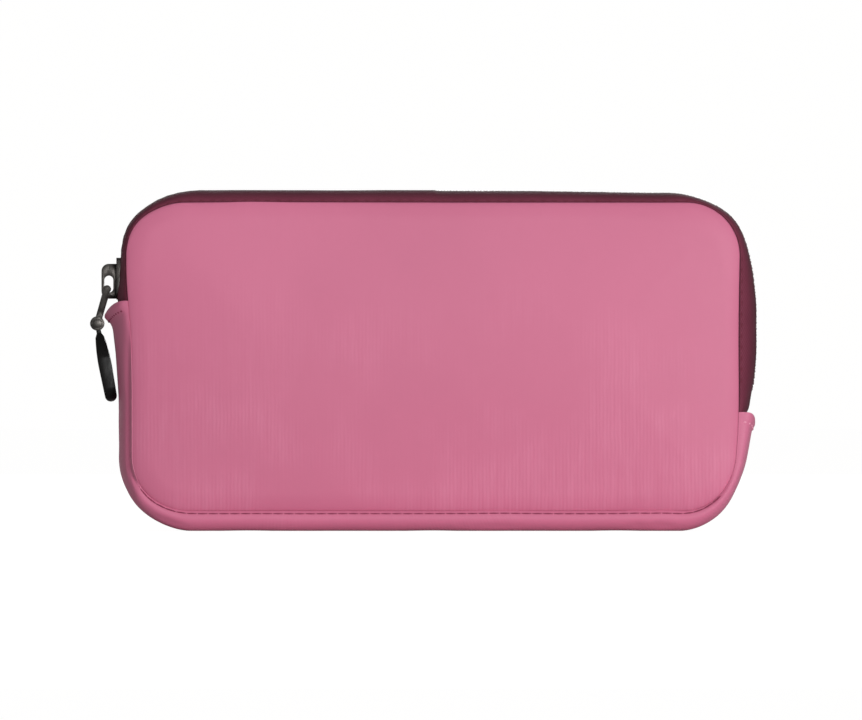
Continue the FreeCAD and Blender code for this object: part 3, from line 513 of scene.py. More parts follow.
# the tape's cloth has a painted seam shadow along its sewn edge and painted shade towards the crown
woven("tapeCloth", (112, 50, 68), (74, 24, 40), (0.75 * mm, 0.65 * mm), (0.12 * mm, 0.5), 0.12,
      SewnEdge=0.7 * mm, Crown=17 * mm, Deep=0.8)
woven("bindingTape", (104, 44, 64), (58, 20, 33), (0.6 * mm, 4 * mm), (0.15 * mm, 0.6), 0.3)
woven("liningCloth", (122, 58, 80), (92, 38, 58), (0.5 * mm, 0.5 * mm), (0.06 * mm, 0.5), 0.45, sheen=0.2)
woven("elastic", (52, 46, 50), (18, 16, 18), (0.7 * mm, 1.4 * mm), (0.25 * mm, 0.8), 0.3)
woven("netCord", (60, 52, 57), (30, 26, 29), (0.4 * mm, 0.4 * mm), (0.05 * mm, 0.4), 0.4, useUv=False)
for name, colour, shadow, specular in (("pinkThread", (232, 160, 184), (190, 104, 134), 0.4),
                                       ("redThread", (104, 26, 50), (62, 10, 26), 0.4),
                                       # this colour also makes the bottom seam's continuous dark line,
                                       # painted shade in the groove
                                       ("seamThread", (142, 58, 86), (104, 34, 60), 0.3),
                                       ("darkThread", (70, 62, 66), (30, 26, 29), 0.4)):
    woven(name, colour, shadow, (0.3 * mm, 0.3 * mm), (0.06 * mm, 0.6), specular, useUv=False)
material("coilNylon", "wornMetal", {"Colour": srgb(78, 26, 42), "Bright": srgb(104, 42, 60)},
         (0.02 * mm, 0.3), {"Specular IOR Level": 0.6, "Coat Weight": 0.15})
material("gunmetal", "wornMetal", {"Colour": srgb(54, 52, 50), "Bright": srgb(92, 89, 86)},
         (0.01 * mm, 0.2), {"Metallic": 0.95, "Specular IOR Level": 0.5})
material("blackMetal", "wornMetal", {"Colour": srgb(9, 8, 8), "Bright": srgb(17, 15, 14)}, (0.01 * mm, 0.2),
         {"Metallic": 0.0, "Specular IOR Level": 0.15, "Coat Weight": 0.04, "Coat Roughness": 0.2})
print("materials made")


# the two padded panels

panelPad = {
    "columns": 132,
    "rows": 72,
    "edgeRound": 6.5 * mm,      # the pad's edge turns down to the seam
    "edgeDepth": 1.6 * mm,
    "edgeSquare": 1.7,          # 2 is a round edge, less is flatter
    "crown": 2.6 * mm,          # the slow rise from the edge to the middle
    "crownReach": 42 * mm,
    "seamTuck": 0.4 * mm,
    "backThick": 2.4 * mm,
    "wave": 0.18 * mm,
    "waveSize": 24 * mm,
    "waveFrom": 12 * mm,        # the wave is full this far in from the edge
    "still": 0.98,              # of the edge's depth: what lies below keeps its place under the pressure
    "pressure": 4.0,
    "frames": 20,
    "quality": 6,
    "cap": 1.6 * mm,            # the pressure moves nothing further than this
    "mass": 0.25,
    "stretchStiffness": 25,
    "shearStiffness": 12,
    "bendStiffness": 8,
}


def onPanel(along, across, inset=0.0):
    # a square grid laid over the rounded rectangle, closer near the edges, and the depth from its edge
    half = seam["half"] - inset
    tall = (seam["high"] - seam["low"]) / 2 - inset
    middle = (seam["high"] + seam["low"]) / 2
    radius = shape["cornerRadius"] - inset
    x = half * np.sin((along - 0.5) * math.pi)
    z = tall * np.sin((across - 0.5) * math.pi)
    cornerX = np.clip((np.abs(x) - (half - radius)) / radius, 0, 1)
    cornerZ = np.clip((np.abs(z) - (tall - radius)) / radius, 0, 1)
    roundX, roundZ = toDisc(cornerX, cornerZ)
    x = np.where(cornerX > 0, np.sign(x) * (half - radius + radius * roundX), x)
    z = np.where(cornerZ > 0, np.sign(z) * (tall - radius + radius * roundZ), z)
    outX = np.abs(x) - (half - radius)
    outZ = np.abs(z) - (tall - radius)
    beyond = np.hypot(np.maximum(outX, 0), np.maximum(outZ, 0)) + np.minimum(np.maximum(outX, outZ), 0)
    return x, z + middle, np.maximum(radius - beyond, 0)


def cornerPush(x, z):
    # moves a panel's upper left corner out with its seam
    centre = np.array([shape["cornerRadius"] - seam["half"], seam["high"] - shape["cornerRadius"]])
    away = np.stack([x, z], 1) - centre
    far = np.maximum(np.hypot(away[:, 0], away[:, 1]), 1e-6)
    way = away / far[:, None]
    push = fuller(way, x, 0.0, 1.0) * np.clip(far / shape["cornerRadius"], 0, 1) ** 2
    return x + way[:, 0] * push, z + way[:, 1] * push


def padShape(side):
    def place(along, across):
        x, z, inside = onPanel(along, across)
        turn = np.clip(inside / panelPad["edgeRound"], 0, 1)
        square = panelPad["edgeSquare"]
        edge = panelPad["edgeDepth"] * (1 - (1 - turn) ** square) ** (1 / square)
        rise = panelPad["crown"] * smooth(inside, 0, panelPad["crownReach"])
        wave = panelPad["wave"] * ripple(x, 0 * x, z, panelPad["waveSize"], side)
        wave = wave * smooth(inside, 0, panelPad["waveFrom"])
        depth = shape["seamDepth"] - panelPad["seamTuck"] * (1 - turn) + edge + rise + wave
        x, z = cornerPush(x, z)
        return np.stack([settled(x, z, 0), side * depth, z], 1)
    return place


def puffUp(pad):
    # the stuffed pad under a little pressure; its sewn edge and its back stay where they are
    start = points(pad)
    makeActive(pad)
    still = pad.vertex_groups.new(name="sewn")
    faces = np.abs(start[:, 1]) < shape["seamDepth"] + panelPad["edgeDepth"] * panelPad["still"]
    still.add([int(index) for index in np.nonzero(faces)[0]], 1.0, "REPLACE")
    cloth = pad.modifiers.new("Cloth", "CLOTH")
    cloth.settings.quality = panelPad["quality"]
    cloth.settings.mass = panelPad["mass"]
    cloth.settings.tension_stiffness = cloth.settings.compression_stiffness = panelPad["stretchStiffness"]
    cloth.settings.shear_stiffness = panelPad["shearStiffness"]
    cloth.settings.bending_stiffness = panelPad["bendStiffness"]
    cloth.settings.use_pressure = True
    cloth.settings.uniform_pressure_force = panelPad["pressure"]
    cloth.settings.vertex_group_mass = "sewn"
    cloth.settings.effector_weights.gravity = 0
    cloth.collision_settings.use_collision = False
    cloth.point_cache.frame_start = 1
    cloth.point_cache.frame_end = panelPad["frames"]
    for frameNumber in range(1, panelPad["frames"] + 1):
        bpy.context.scene.frame_set(frameNumber)
    bpy.ops.object.modifier_apply(modifier="Cloth")
    bpy.context.scene.frame_set(1)
    moved = points(pad) - start
    far = np.linalg.norm(moved, axis=1, keepdims=True)
    print("  pad moved up to", round(float(far.max()) * 1000, 2), "mm")
    movePoints(pad, start + moved * np.minimum(1, panelPad["cap"] / np.maximum(far, 1e-9)))
    pad.vertex_groups.clear()


def makePad(name, side):
    pad = grid(name, panelPad["columns"], panelPad["rows"], padShape(side))
    faceAway(pad)
    thicken(pad, panelPad["backThick"])
    puffUp(pad)
    smoothShade(pad)
    return pad


frontPad = makePad("frontPanel", -1)
give(frontPad, finishes["panelCloth"], slot="shell_cloth",
     replaced=("front_panel_lower", "front_panel_upper", "front_padding_lower", "front_padding_upper"))
bendsAtFold(frontPad)
backPad = makePad("backPanel", 1)
give(backPad, finishes["panelCloth"], "root", "shell_cloth", ("back_panel", "back_padding"))
print("panels made")


# the band round the pouch: gusset below, zip tapes above

def bandPlace(crown, way, ends, section, offset, forward, dip=None):
    # lays a grid round the pouch; section(across) gives depth, share and floor share of each row
    def place(along, across):
        spots = np.zeros((len(along), 3))
        for row in np.unique(np.round(across, 6)):
            chosen = np.abs(across - row) < 1e-5
            depth, share, floorShare = section(row)
            lower = dip(share) if dip else (0.0, 0.0)
            outline = mixed(seam, crown, share, floorShare)
            heights = (ends[0] - lower[0], ends[1] - lower[1])
            line, outward = alongOutline(outline, along[chosen], way, heights)
            out = offset(line[:, 0], line[:, 1], depth, share, along[chosen])
            out = out + fuller(outward, line[:, 0], share, depth)
            x = line[:, 0] + outward[:, 0] * out
            z = line[:, 1] + outward[:, 1] * out
            y = depth + math.copysign(1, depth) * forward(share, outward, line[:, 1])
            spots[chosen] = np.stack([settled(x, z, share), y, z], 1)
        return spots
    return place


def slantedBack(share, strip, outward):
    # a side strip slants back from its seam instead of rolling forward: how far in from its plain section
    square = strip["square"]
    slanted = square + (strip["leftSquare"] - square) * smooth(-outward[:, 0], *strip["leftTurn"])
    plain = (1 - share ** square) ** (1 / square)
    return shape["seamDepth"] * ((1 - share ** slanted) ** (1 / slanted) - plain)


gussetStrip = {
    "columns": 300,
    "rows": 48,
    "square": 4.4,               # 2 is a round roll, more is boxier
    "leftSquare": 1.8,           # the left side slants back from the seam
    "leftGroove": (2.6 * mm, 0.16, 0.32),     # and is drawn in along it: how deep, where and how widely
    "grooveFades": (46 * mm, 70 * mm),       # between these heights, below the hem
    "crowding": 0.12,            # rows stand closer near the seams
    "floorGain": 1.1,            # the strip is down on the floor this much sooner than out at its crown
    "plump": (0.9 * mm, 0.36, 0.34),   # how far the roll stands forward, where and how widely
    "seamTuck": (0.2 * mm, 0.04, 0.3),        # how deep, over which share, what is left at the sides
    "underTurn": (0.1, 0.85),    # how far round to the bottom the roll begins and is full
    "dip": (3.6 * mm, 2.4, 2.5 * mm, 5.0),    # how much lower the folded ends are over the zip, and how late
    "spread": (2.3 * mm, 42 * mm, 28 * mm, 1.2, 1.5),     # the left side stands out more towards its end
    "flare": (1.9 * mm, 0.4 * mm, 2.2 * mm),  # at the left end, at the right end, and its reach
    "flareAt": 0.8,              # of its reach from the end
    "seamFree": (0.08, 0.06, 0.3),            # the groove, the roll and the hem begin at the seam over this
    "hem": 3.4 * mm,             # from the end to the hem's stitches
    "hemRise": (0.45 * mm, 0.85, 1.25),       # double cloth, up to these shares of the way
    "hemDraw": (0.35 * mm, 0.5 * mm),         # pulled in by the stitches, over this width
    "dents": [(74.5 * mm, 0.5 * mm, 4.5 * mm), (65.5 * mm, 0.35 * mm, 3.5 * mm),
              (-88 * mm, 0.5 * mm, 5 * mm), (20 * mm, 0.35 * mm, 9 * mm)],    # where, how deep, how wide
    "dentDepth": (-19.2 * mm, 0.9 * mm),      # on the front of the roll
    "leftTurn": (0.7, 1.0),      # how far round to the left the slant begins and is full
    "grooveTurn": (0.8, 1.0),
    "wave": 0.22 * mm,
    "waveSize": 11 * mm,
    "flatWidth": 43 * mm,
    "flatLength": 306 * mm,
}


def gussetSection(across):
    # from the front seam over the crown to the back seam
    square = gussetStrip["square"]
    turn = math.pi * (across - gussetStrip["crowding"] * math.sin(2 * math.pi * across))
    run, rise = math.cos(turn), math.sin(turn)
    y = -shape["seamDepth"] * math.copysign(abs(run) ** (2 / square), run)
    share = max(rise, 0.0) ** (2 / square)
    return y, share, min(1.0, share * gussetStrip["floorGain"])


def gussetForward(share, outward, z, plump=1.0):
    # under the panel the seam is drawn in and the strip rolls out beside it before it turns back
    amount, middle, spread = gussetStrip["plump"]
    under = smooth(-outward[:, 1], *gussetStrip["underTurn"])
    tuck, near, sides = gussetStrip["seamTuck"]
    tuck = tuck * bell(share, 0.0, near) * (sides + (1 - sides) * under)
    back = slantedBack(share, gussetStrip, outward)
    deep, at, wide = gussetStrip["leftGroove"]
    side = smooth(-outward[:, 0], *gussetStrip["grooveTurn"]) * (1 - smooth(z, *gussetStrip["grooveFades"]))
    grooveFrom, rollFrom, _ = gussetStrip["seamFree"]
    back = back - deep * bell(share, at, wide) * smooth(share, 0, grooveFrom) * side
    roll = plump * amount * bell(share, middle, spread) * under * smooth(share, 0, rollFrom)
    return back + roll - tuck


def gussetDip(share):
    left, leftPower, right, rightPower = gussetStrip["dip"]
    return (left * share ** leftPower, right * share ** rightPower)


def endDistance(along, length):
    return np.minimum(along, 1 - along) * length


def gussetOffset(x, z, depth, share, along):
    left = along < 0.5
    fromEnd = endDistance(along, gussetStrip["flatLength"])
    amount, start, reach, most, power = gussetStrip["spread"]
    out = amount * share * np.clip((z - start) / reach, 0, most) ** power * left
    flareLeft, flareRight, flareReach = gussetStrip["flare"]
    flared = share * np.where(left, flareLeft, flareRight)
    out = out + flared * bell(fromEnd, gussetStrip["flareAt"] * flareReach, flareReach)
    hem = gussetStrip["hem"]
    rise, near, far = gussetStrip["hemRise"]
    draw, width = gussetStrip["hemDraw"]
    away = smooth(np.full(len(x), share), 0, gussetStrip["seamFree"][2])
    out = out + rise * (1 - smooth(fromEnd, hem * near, hem * far)) * away
    out = out - draw * bell(fromEnd, hem, width) * away
    out = out + gussetStrip["wave"] * ripple(x, np.full(len(x), depth), z, gussetStrip["waveSize"]) * share
    for dentX, deep, wide in gussetStrip["dents"]:
        if depth < 0:
            out = out - deep * bell(x, dentX, wide) * bell(depth, *gussetStrip["dentDepth"])
    return out


folds = (shape["foldLeft"], shape["foldRight"])
gussetPlace = bandPlace(gussetCrown, "under", folds, gussetSection, gussetOffset, gussetForward, gussetDip)


def onFloor(piece):
    spots = points(piece)
    spots[:, 2] = np.maximum(spots[:, 2], shape["floorGap"])
    movePoints(piece, spots)


gusset = grid("lowerGusset", gussetStrip["columns"], gussetStrip["rows"], gussetPlace,
              (gussetStrip["flatLength"], gussetStrip["flatWidth"]))
faceAway(gusset)
onFloor(gusset)
thicken(gusset, shape["gussetThick"])
onFloor(gusset)
smoothShade(gusset)
give(gusset, finishes["gussetCloth"], "root", "shell_cloth", ("lower_gusset",))
print("gusset made")

tapeStrip = {
    "columns": 300,
    "rows": 20,
    "square": 2.5,
    "leftSquare": 1.75,
    "leftTurn": (0.9, 1.0),
    "under": 6 * mm,             # the tapes run on under the gusset's folded ends
    "edge": 3.4 * mm,            # from here the woven edge runs on under the coil
    "lip": (0.25 * mm, 1.6 * mm, 0.8),        # how near to the middle, how far down, where it starts
    "lipFrom": 0.5 * mm,         # it turns down over this much
    "thick": 0.7 * mm,
    "tuck": 1.0 * mm,            # how far in the ends lie, over this stretch
    "tuckOver": (4 * mm, 8 * mm),
    "tuckLeft": 0.4,             # less at the left, beside the slider
    "hidden": (1.4 * mm, 1.5 * mm),           # how much further back it lies under the folds, and from where
    "wave": 0.12 * mm,
    "waveSize": 9 * mm,
    "flatWidth": 21.5 * mm,
    "flatLength": 302 * mm,
}


def tapeSection(side):
    def section(across):
        # from the seam to the coil, then the lip under it
        reach, edge, square = shape["seamDepth"], tapeStrip["edge"], tapeStrip["square"]
        nearest, _, start = tapeStrip["lip"]
        turn = math.pi / 2 * min(across / start, 1.0)
        y = reach - (reach - edge) * (1 - max(math.cos(turn), 0.0) ** (2 / square))
        y -= (edge - nearest) * max(across - start, 0.0) / (1 - start)
        share = (1 - (y / reach) ** square) ** (1 / square)
        share = 0.0 if across == 0 else share
        return side * y, share, share
    return section


def crownOut(x, z, depth):
    # how far the zip's crown stands out beyond its plain run
    low, high, lost, losing, gone = shape["crownTop"]
    top = shape["crownRise"] * smooth(z, low, high) * (1 - lost * smooth(x, losing, gone))
    toRight = smooth(x, *shape["crownFrom"])
    side = shape["crownSide"] * toRight * smooth(z, *shape["crownSideUp"])
    amount, low, full, fading, high = shape["crownRight"]
    side = side + amount * toRight * smooth(z, low, full) * (1 - smooth(z, fading, high))
    if abs(depth) > shape["sliderHalf"]:
        amount, full, high = shape["crownLeft"]
        amount = shape["crownSide"] + amount * (1 - smooth(z, full, high))
        side = side + amount * smooth(-x, *shape["crownSideLeft"])
    return np.maximum(top, side)


def tapeOffset(x, z, depth, share, along):
    fromEnd = endDistance(along, tapeStrip["flatLength"])
    tuck = tapeStrip["tuck"] * (1 - smooth(fromEnd, *tapeStrip["tuckOver"])) * share
    tuck = np.where((along < 0.5) & (abs(depth) > shape["sliderHalf"]), tapeStrip["tuckLeft"] * tuck, tuck)
    past = np.array(tapeStrip["edge"] - abs(depth))
    down = tapeStrip["lip"][1] * float(smooth(past, 0, tapeStrip["lipFrom"]))
    wave = tapeStrip["wave"] * ripple(x, np.full(len(x), depth), z, tapeStrip["waveSize"], 2.0)
    return crownOut(x, z, depth) * share - down + wave * share - tuck


def tapeForward(share, outward, z):
    # under the gusset's folds the tape lies further back
    fold = np.where(outward[:, 0] < 0, shape["foldLeft"], shape["foldRight"])
    hidden, over = tapeStrip["hidden"]
    return slantedBack(share, tapeStrip, outward) - hidden * (1 - smooth(z - fold, -over, 0.0))


def makeTape(name, side):
    ends = [fold - tapeStrip["under"] for fold in folds]
    place = bandPlace(tapeCrown, "over", ends, tapeSection(side), tapeOffset, tapeForward)
    tape = grid(name, tapeStrip["columns"], tapeStrip["rows"], place,
                (tapeStrip["flatLength"], tapeStrip["flatWidth"]))
    faceAway(tape)
    thicken(tape, tapeStrip["thick"])
    smoothShade(tape)
    return tape


frontTape = give(makeTape("frontZipTape", -1), finishes["tapeCloth"], slot="zip_tape",
                 replaced=("front_zip_tape",))
bendsAtFold(frontTape)
give(makeTape("backZipTape", 1), finishes["tapeCloth"], "root", "zip_tape", ("back_zip_tape",))
print("tapes made")


# the zip's two coils, pressed spirals led along the crown

coil = {
    "pitch": 2.0 * mm,
    "wire": 0.42 * mm,
    "inner": 3.45 * mm,          # how far from the middle each turn is sewn to its tape
    "outer": -0.42 * mm,         # how far it reaches past the middle into the other row
    "thick": 1.9 * mm,
    "sunk": 0.75 * mm,           # the coil's middle below the tape's outside
    "pressed": 0.75,             # 1 is a round turn, less is squarer
    "steps": 14,
    "under": 2 * mm,
    "samples": 1200,             # points along the crown that it is led by
    "sinks": (6 * mm, 16 * mm),  # from its ends, over this stretch
    "sinksRight": 1.5,           # and deeper at the right
}


def makeCoil(name, side, shift, start=0.0, stop=1.0):
    # between two distances from the zip's left end
    ends = [fold - coil["under"] for fold in folds]
    outline = shrunk(tapeCrown, coil["sunk"])
    line, outward = alongOutline(outline, np.linspace(0, 1, coil["samples"]), "over", ends)
    out = crownOut(line[:, 0], line[:, 1], 0.0) + fuller(outward, line[:, 0], 1.0, 0.0)
    share = np.linspace(0, 1, len(line))
    fromEnd = endDistance(share, tapeStrip["flatLength"]) + tapeStrip["under"] - coil["under"]
    sinks = np.where(share > 0.5, coil["sinksRight"], 1.0) * (1 - smooth(fromEnd, *coil["sinks"]))
    out = out - tapeStrip["tuck"] * sinks
    line = line + outward * out[:, None]
    run = distanceAlong(line)
    first = math.ceil(start / coil["pitch"])
    last = math.floor(min(stop, run[-1]) / coil["pitch"] - 1)
    angle = 2 * math.pi * np.linspace(first, last, (last - first) * coil["steps"] + 1)
    spot = (angle / (2 * math.pi) + shift) * coil["pitch"]
    x, z = (np.interp(spot, run, line[:, axis]) for axis in (0, 1))
    outX, outZ = (np.interp(spot, run, outward[:, axis]) for axis in (0, 1))
    middle = (coil["inner"] + coil["outer"]) / 2
    reach = (coil["inner"] - coil["outer"]) / 2
    across = middle + reach * signedPower(np.cos(angle), coil["pressed"])
    up = (coil["thick"] / 2 - coil["wire"]) * signedPower(np.sin(angle), coil["pressed"])
    curve = bpy.data.curves.new(name, "CURVE")
    curve.dimensions = "3D"
    curve.bevel_depth = coil["wire"]
    curve.bevel_resolution = 1
    curve.use_fill_caps = True
    spline = curve.splines.new("POLY")
    spline.points.add(len(spot) - 1)
    for index, point in enumerate(spline.points):
        point.co = (x[index] + outX[index] * up[index], side * across[index],
                    z[index] + outZ[index] * up[index], 1)
    row = bpy.data.objects.new(name, curve)
    bpy.context.collection.objects.link(row)
    makeActive(row)
    bpy.ops.object.convert(target="MESH")
    row = bpy.context.object
    smoothShade(row, 50)
    return row


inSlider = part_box("slider_body")[1][2] - shape["foldLeft"] + coil["under"]
give(makeCoil("backCoil", 1, 0.25), finishes["coilNylon"], "root", "zip_coil", ("back_zip_coil",))
give(makeCoil("frontCoil", -1, 0.75, inSlider), finishes["coilNylon"], "mouth_flap", "zip_coil",
     ("front_zip_coil",))
give(makeCoil("frontCoilEnd", -1, 0.75, 0.0, inSlider), finishes["coilNylon"], "root", "zip_coil",
     ("front_coil_end",))
print("coils made")


# what rides on the zip: the slider and its pull keep their CAD form, with broken edges

metal = {
    "parts": {"slider_body": (0.3 * mm, "slider"), "slider_bail": (0.5 * mm, "slider"),
              "pull_link": (0.18 * mm, "link"), "pull_rivet": (0.12 * mm, "link"),
              "pull_paddle": (0.45 * mm, "pull")},       # the width of its broken edges, and its body
    "join": 0.002 * mm,
    "flat": 1.0,                 # faces that meet below this angle become one
    "sharp": 35,                 # edges above this angle are broken
    "steps": 2,
}


def brokenEdges(nodeName, width, body):
    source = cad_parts[nodeName]
    piece = source.copy()
    piece.data = source.data.copy()
    for key in list(piece.keys()):
        del piece[key]
    piece.parent = None
    piece.matrix_world = Matrix.Identity(4)
    bpy.context.collection.objects.link(piece)
    piece.name = piece.data.name = "metal_" + nodeName
    editAll(piece)
    bpy.ops.mesh.remove_doubles(threshold=metal["join"])
    bpy.ops.mesh.dissolve_limited(angle_limit=math.radians(metal["flat"]))
    bpy.ops.object.mode_set(mode="OBJECT")
    applyModifier(piece, "BEVEL", width=width, segments=metal["steps"], limit_method="ANGLE",
                  angle_limit=math.radians(metal["sharp"]), use_clamp_overlap=True, harden_normals=False)
    smoothShade(piece, 40)
    finish = "blackMetal" if nodeName == "pull_paddle" else "gunmetal"
    give(piece, finishes[finish], body, "gunmetal", (nodeName,))


for nodeName, (width, body) in metal["parts"].items():
    brokenEdges(nodeName, width, body)
print("slider and pull made")


# inside: linings, bound seams, elastic loops and a net pocket

lining = {
    "columns": 100,
    "rows": 56,
    "inset": 2.1 * mm,
    "thick": 0.5 * mm,
    "wave": 0.35 * mm,
    "waveSize": 17 * mm,
    "waveFrom": 10 * mm,
    "waveShare": 0.6,            # of the wave, away from the pouch's middle
    "stripColumns": 220,
    "stripRows": 22,
    "stripInset": 1.5 * mm,
    "stripWave": 0.3 * mm,
    "stripWaveSize": 13 * mm,
}


def liningPlace(side):
    low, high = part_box("back_lining")
    middle = (low[1] + high[1]) / 2

    def place(along, across):
        x, z, inside = onPanel(along, across, lining["inset"])
        wave = lining["wave"] * ripple(x, 0 * x, z, lining["waveSize"], 4.0 + side)
        wave = wave * smooth(inside, 0, lining["waveFrom"])
        x, z = cornerPush(x, z)
        return np.stack([settled(x, z, 0), side * (middle + np.abs(wave) * lining["waveShare"]), z], 1)
    return place


def panelLining(name, side, replaced):
    panelSize = (2 * (seam["half"] - lining["inset"]), seam["high"] - seam["low"] - 2 * lining["inset"])
    piece = grid(name, lining["columns"], lining["rows"], liningPlace(side), panelSize)
    thicken(piece, lining["thick"], 0)
    smoothShade(piece)
    give(piece, finishes["liningCloth"], slot="lining_cloth", replaced=replaced)
    return piece


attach(panelLining("backLining", 1, ("back_lining",)), "root")
bendsAtFold(panelLining("frontLining", -1, ("front_lining_lower", "front_lining_upper")))


def stripLiningOffset(x, z, depth, share, along):
    wave = lining["stripWave"] * ripple(x, np.full(len(x), depth), z, lining["stripWaveSize"], 6.0)
    return -lining["stripInset"] - np.abs(wave)


def stripLiningForward(share, outward, z):
    return gussetForward(share, outward, z, 0.0) - lining["stripInset"] * (1 - share)


stripLiningPlace = bandPlace(gussetCrown, "under", folds, gussetSection, stripLiningOffset,
                             stripLiningForward, gussetDip)
stripLining = grid("gussetLining", lining["stripColumns"], lining["stripRows"], stripLiningPlace,
                   (gussetStrip["flatLength"], gussetStrip["flatWidth"]))
faceAway(stripLining)
thicken(stripLining, lining["thick"])
smoothShade(stripLining)
give(stripLining, finishes["liningCloth"], "root", "lining_cloth", ("gusset_lining",))

binding = {
    "columns": 360,
    "around": 16,
    "inset": 3.05 * mm,
    "thick": 1.5 * mm,
    "square": 0.5,
    "wave": 0.15 * mm,
    "waveSize": 8 * mm,
    "uvSize": (600 * mm, 11 * mm),
}


def closeTube(piece, capped=False):
    # joins the edges that meet where a grid is rolled up, and closes its ends
    join = 0.005 * mm
    editAll(piece)
    bpy.ops.mesh.remove_doubles(threshold=join)
    if capped:
        bpy.ops.mesh.select_all(action="DESELECT")
        bpy.ops.mesh.select_non_manifold(extend=False)
        bpy.ops.mesh.edge_face_add()
        bpy.ops.mesh.select_all(action="SELECT")
    bpy.ops.mesh.normals_make_consistent(inside=False)
    bpy.ops.object.mode_set(mode="OBJECT")
    smoothShade(piece)


def boundSeam(name, side, replaced):
    # a folded tape over the seam allowance, standing in from the panel all round
    low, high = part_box("back_binding")[0][1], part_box("back_binding")[1][1]

    def place(along, across):
        line, outward = alongOutline(shrunk(seam, binding["inset"]), along, "round")
        turn = 2 * math.pi * across
        out = binding["thick"] / 2 * signedPower(np.cos(turn), binding["square"])
        deep = (high - low) / 2 * signedPower(np.sin(turn), binding["square"])
        out = out + binding["wave"] * ripple(line[:, 0], deep, line[:, 1], binding["waveSize"], 3.0)
        out = out + fuller(outward, line[:, 0], 0.0, 1.0)
        x = line[:, 0] + outward[:, 0] * out
        return np.stack([settled(x, line[:, 1], 0), side * ((low + high) / 2 + deep),
                         line[:, 1] + outward[:, 1] * out], 1)
    piece = grid(name, binding["columns"], binding["around"], place, binding["uvSize"])
    closeTube(piece)
    return give(piece, finishes["bindingTape"], slot="seam_binding", replaced=replaced)


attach(boundSeam("backBinding", 1, ("back_binding",)), "root")
bendsAtFold(boundSeam("frontBinding", -1, ("front_binding_lower", "front_binding_upper")))
print("linings and bound seams made")

loops = {
    "count": 5,
    "tab": 6 * mm,
    "wide": 26 * mm,
    "thick": 1.1 * mm,
    "stepsPerLoop": 26,
    "rows": 12,
    "flatter": (0.55, 2.5 * mm),              # a bow starts at this share of a round one's rise, over this
    "sag": 0.3 * mm,             # the middle of each bow gives a little
}
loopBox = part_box("elastic_loops")


def loopLine():
    # seen from above, from one tab to the last: sewn flat, then a bow, then flat again
    tall = loopBox[1][1] - loopBox[0][1]
    radius = (loops["wide"] ** 2 / 4 + tall ** 2) / 2 / tall
    spread = math.asin(loops["wide"] / 2 / radius)
    wall = loopBox[1][1] - loops["thick"] * 0.5
    least, over = loops["flatter"]
    spots = []
    for number in range(loops["count"]):
        start = loopBox[0][0] + number * (loops["tab"] + loops["wide"])
        spots += [(start + loops["tab"] * part, wall) for part in (0, 0.33, 0.67)]
        middle = start + loops["tab"] + loops["wide"] / 2
        for turn in np.linspace(-spread, spread, loops["stepsPerLoop"]):
            rise = (math.cos(turn) - math.cos(spread)) * radius
            share = least + (1 - least) * float(smooth(np.array(rise), 0, over))
            spots.append((middle + math.sin(turn) * radius, wall - rise * share))
    last = loopBox[0][0] + loops["count"] * (loops["tab"] + loops["wide"])
    spots += [(last + loops["tab"] * part, wall) for part in (0, 0.5, 1)]
    return np.array(spots)


loopSpots = loopLine()
loopLength = distanceAlong(loopSpots)[-1]


def loopPlace(along, across):
    index = np.round(along * (len(loopSpots) - 1)).astype(int)
    z = loopBox[0][2] + (loopBox[1][2] - loopBox[0][2]) * across
    belly = (loopBox[1][1] - loopSpots[index, 1]) / (loopBox[1][1] - loopBox[0][1])
    sag = loops["sag"] * belly * np.sin(across * math.pi)
    return np.stack([loopSpots[index, 0], loopSpots[index, 1] + sag, z], 1)


band = grid("elasticLoops", len(loopSpots) - 1, loops["rows"], loopPlace,
            (loopLength, loopBox[1][2] - loopBox[0][2]))
thicken(band, loops["thick"], 0)
smoothShade(band)
give(band, finishes["elastic"], "root", "elastic_webbing", ("elastic_loops",))

pocket = {
    "columns": 118,
    "rows": 16,
    "bar": 0.34 * mm,            # cloth left round each hole of the net
    "thick": 0.3 * mm,
    "edgeRound": 6 * mm,
    "cornerLess": 6 * mm,        # than the panel's corners
    "edging": (4 * mm, 0.6),     # its height, and how much of that stands above the net
    "wave": 0.3 * mm,
    "waveSize": 12 * mm,
    "flat": (196 * mm, 28 * mm),
    "solidShare": 0.69,          # what the holes leave of the net's flat area
}
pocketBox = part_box("mesh_pocket")
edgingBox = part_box("pocket_edging")


def pocketPlace(along, across):
    # a net face that turns back to the lining at its two sides and its bottom
    half = pocketBox[1][0] * (2 * along - 1)
    tall, above = pocket["edging"]
    low, high = pocketBox[0][2], edgingBox[1][2] - tall * above
    z = low + (high - low) * across
    side = pocketBox[1][0] - np.abs(half)
    corner = shape["cornerRadius"] - pocket["cornerLess"]
    cornerX = np.clip((corner - side) / corner, 0, 1)
    cornerZ = np.clip((corner - (z - low)) / corner, 0, 1)
    roundX, roundZ = toDisc(cornerX, cornerZ)
    inside = corner - np.hypot(roundX, roundZ) * corner
    inCorner = (cornerX > 0) & (cornerZ > 0)
    x = np.where(inCorner, np.sign(half) * (pocketBox[1][0] - corner + corner * roundX), half)
    z = np.where(inCorner, low + corner - corner * roundZ, z)
    deep = pocketBox[1][1] - pocketBox[0][1] - pocket["thick"]
    turn = np.clip(inside / pocket["edgeRound"], 0, 1)
    rise = deep * np.sqrt(1 - (1 - turn) ** 2)
    wave = pocket["wave"] * np.abs(ripple(x, 0 * x, z, pocket["waveSize"], 5.0)) * turn
    return np.stack([x, pocketBox[0][1] + rise - wave, z], 1)


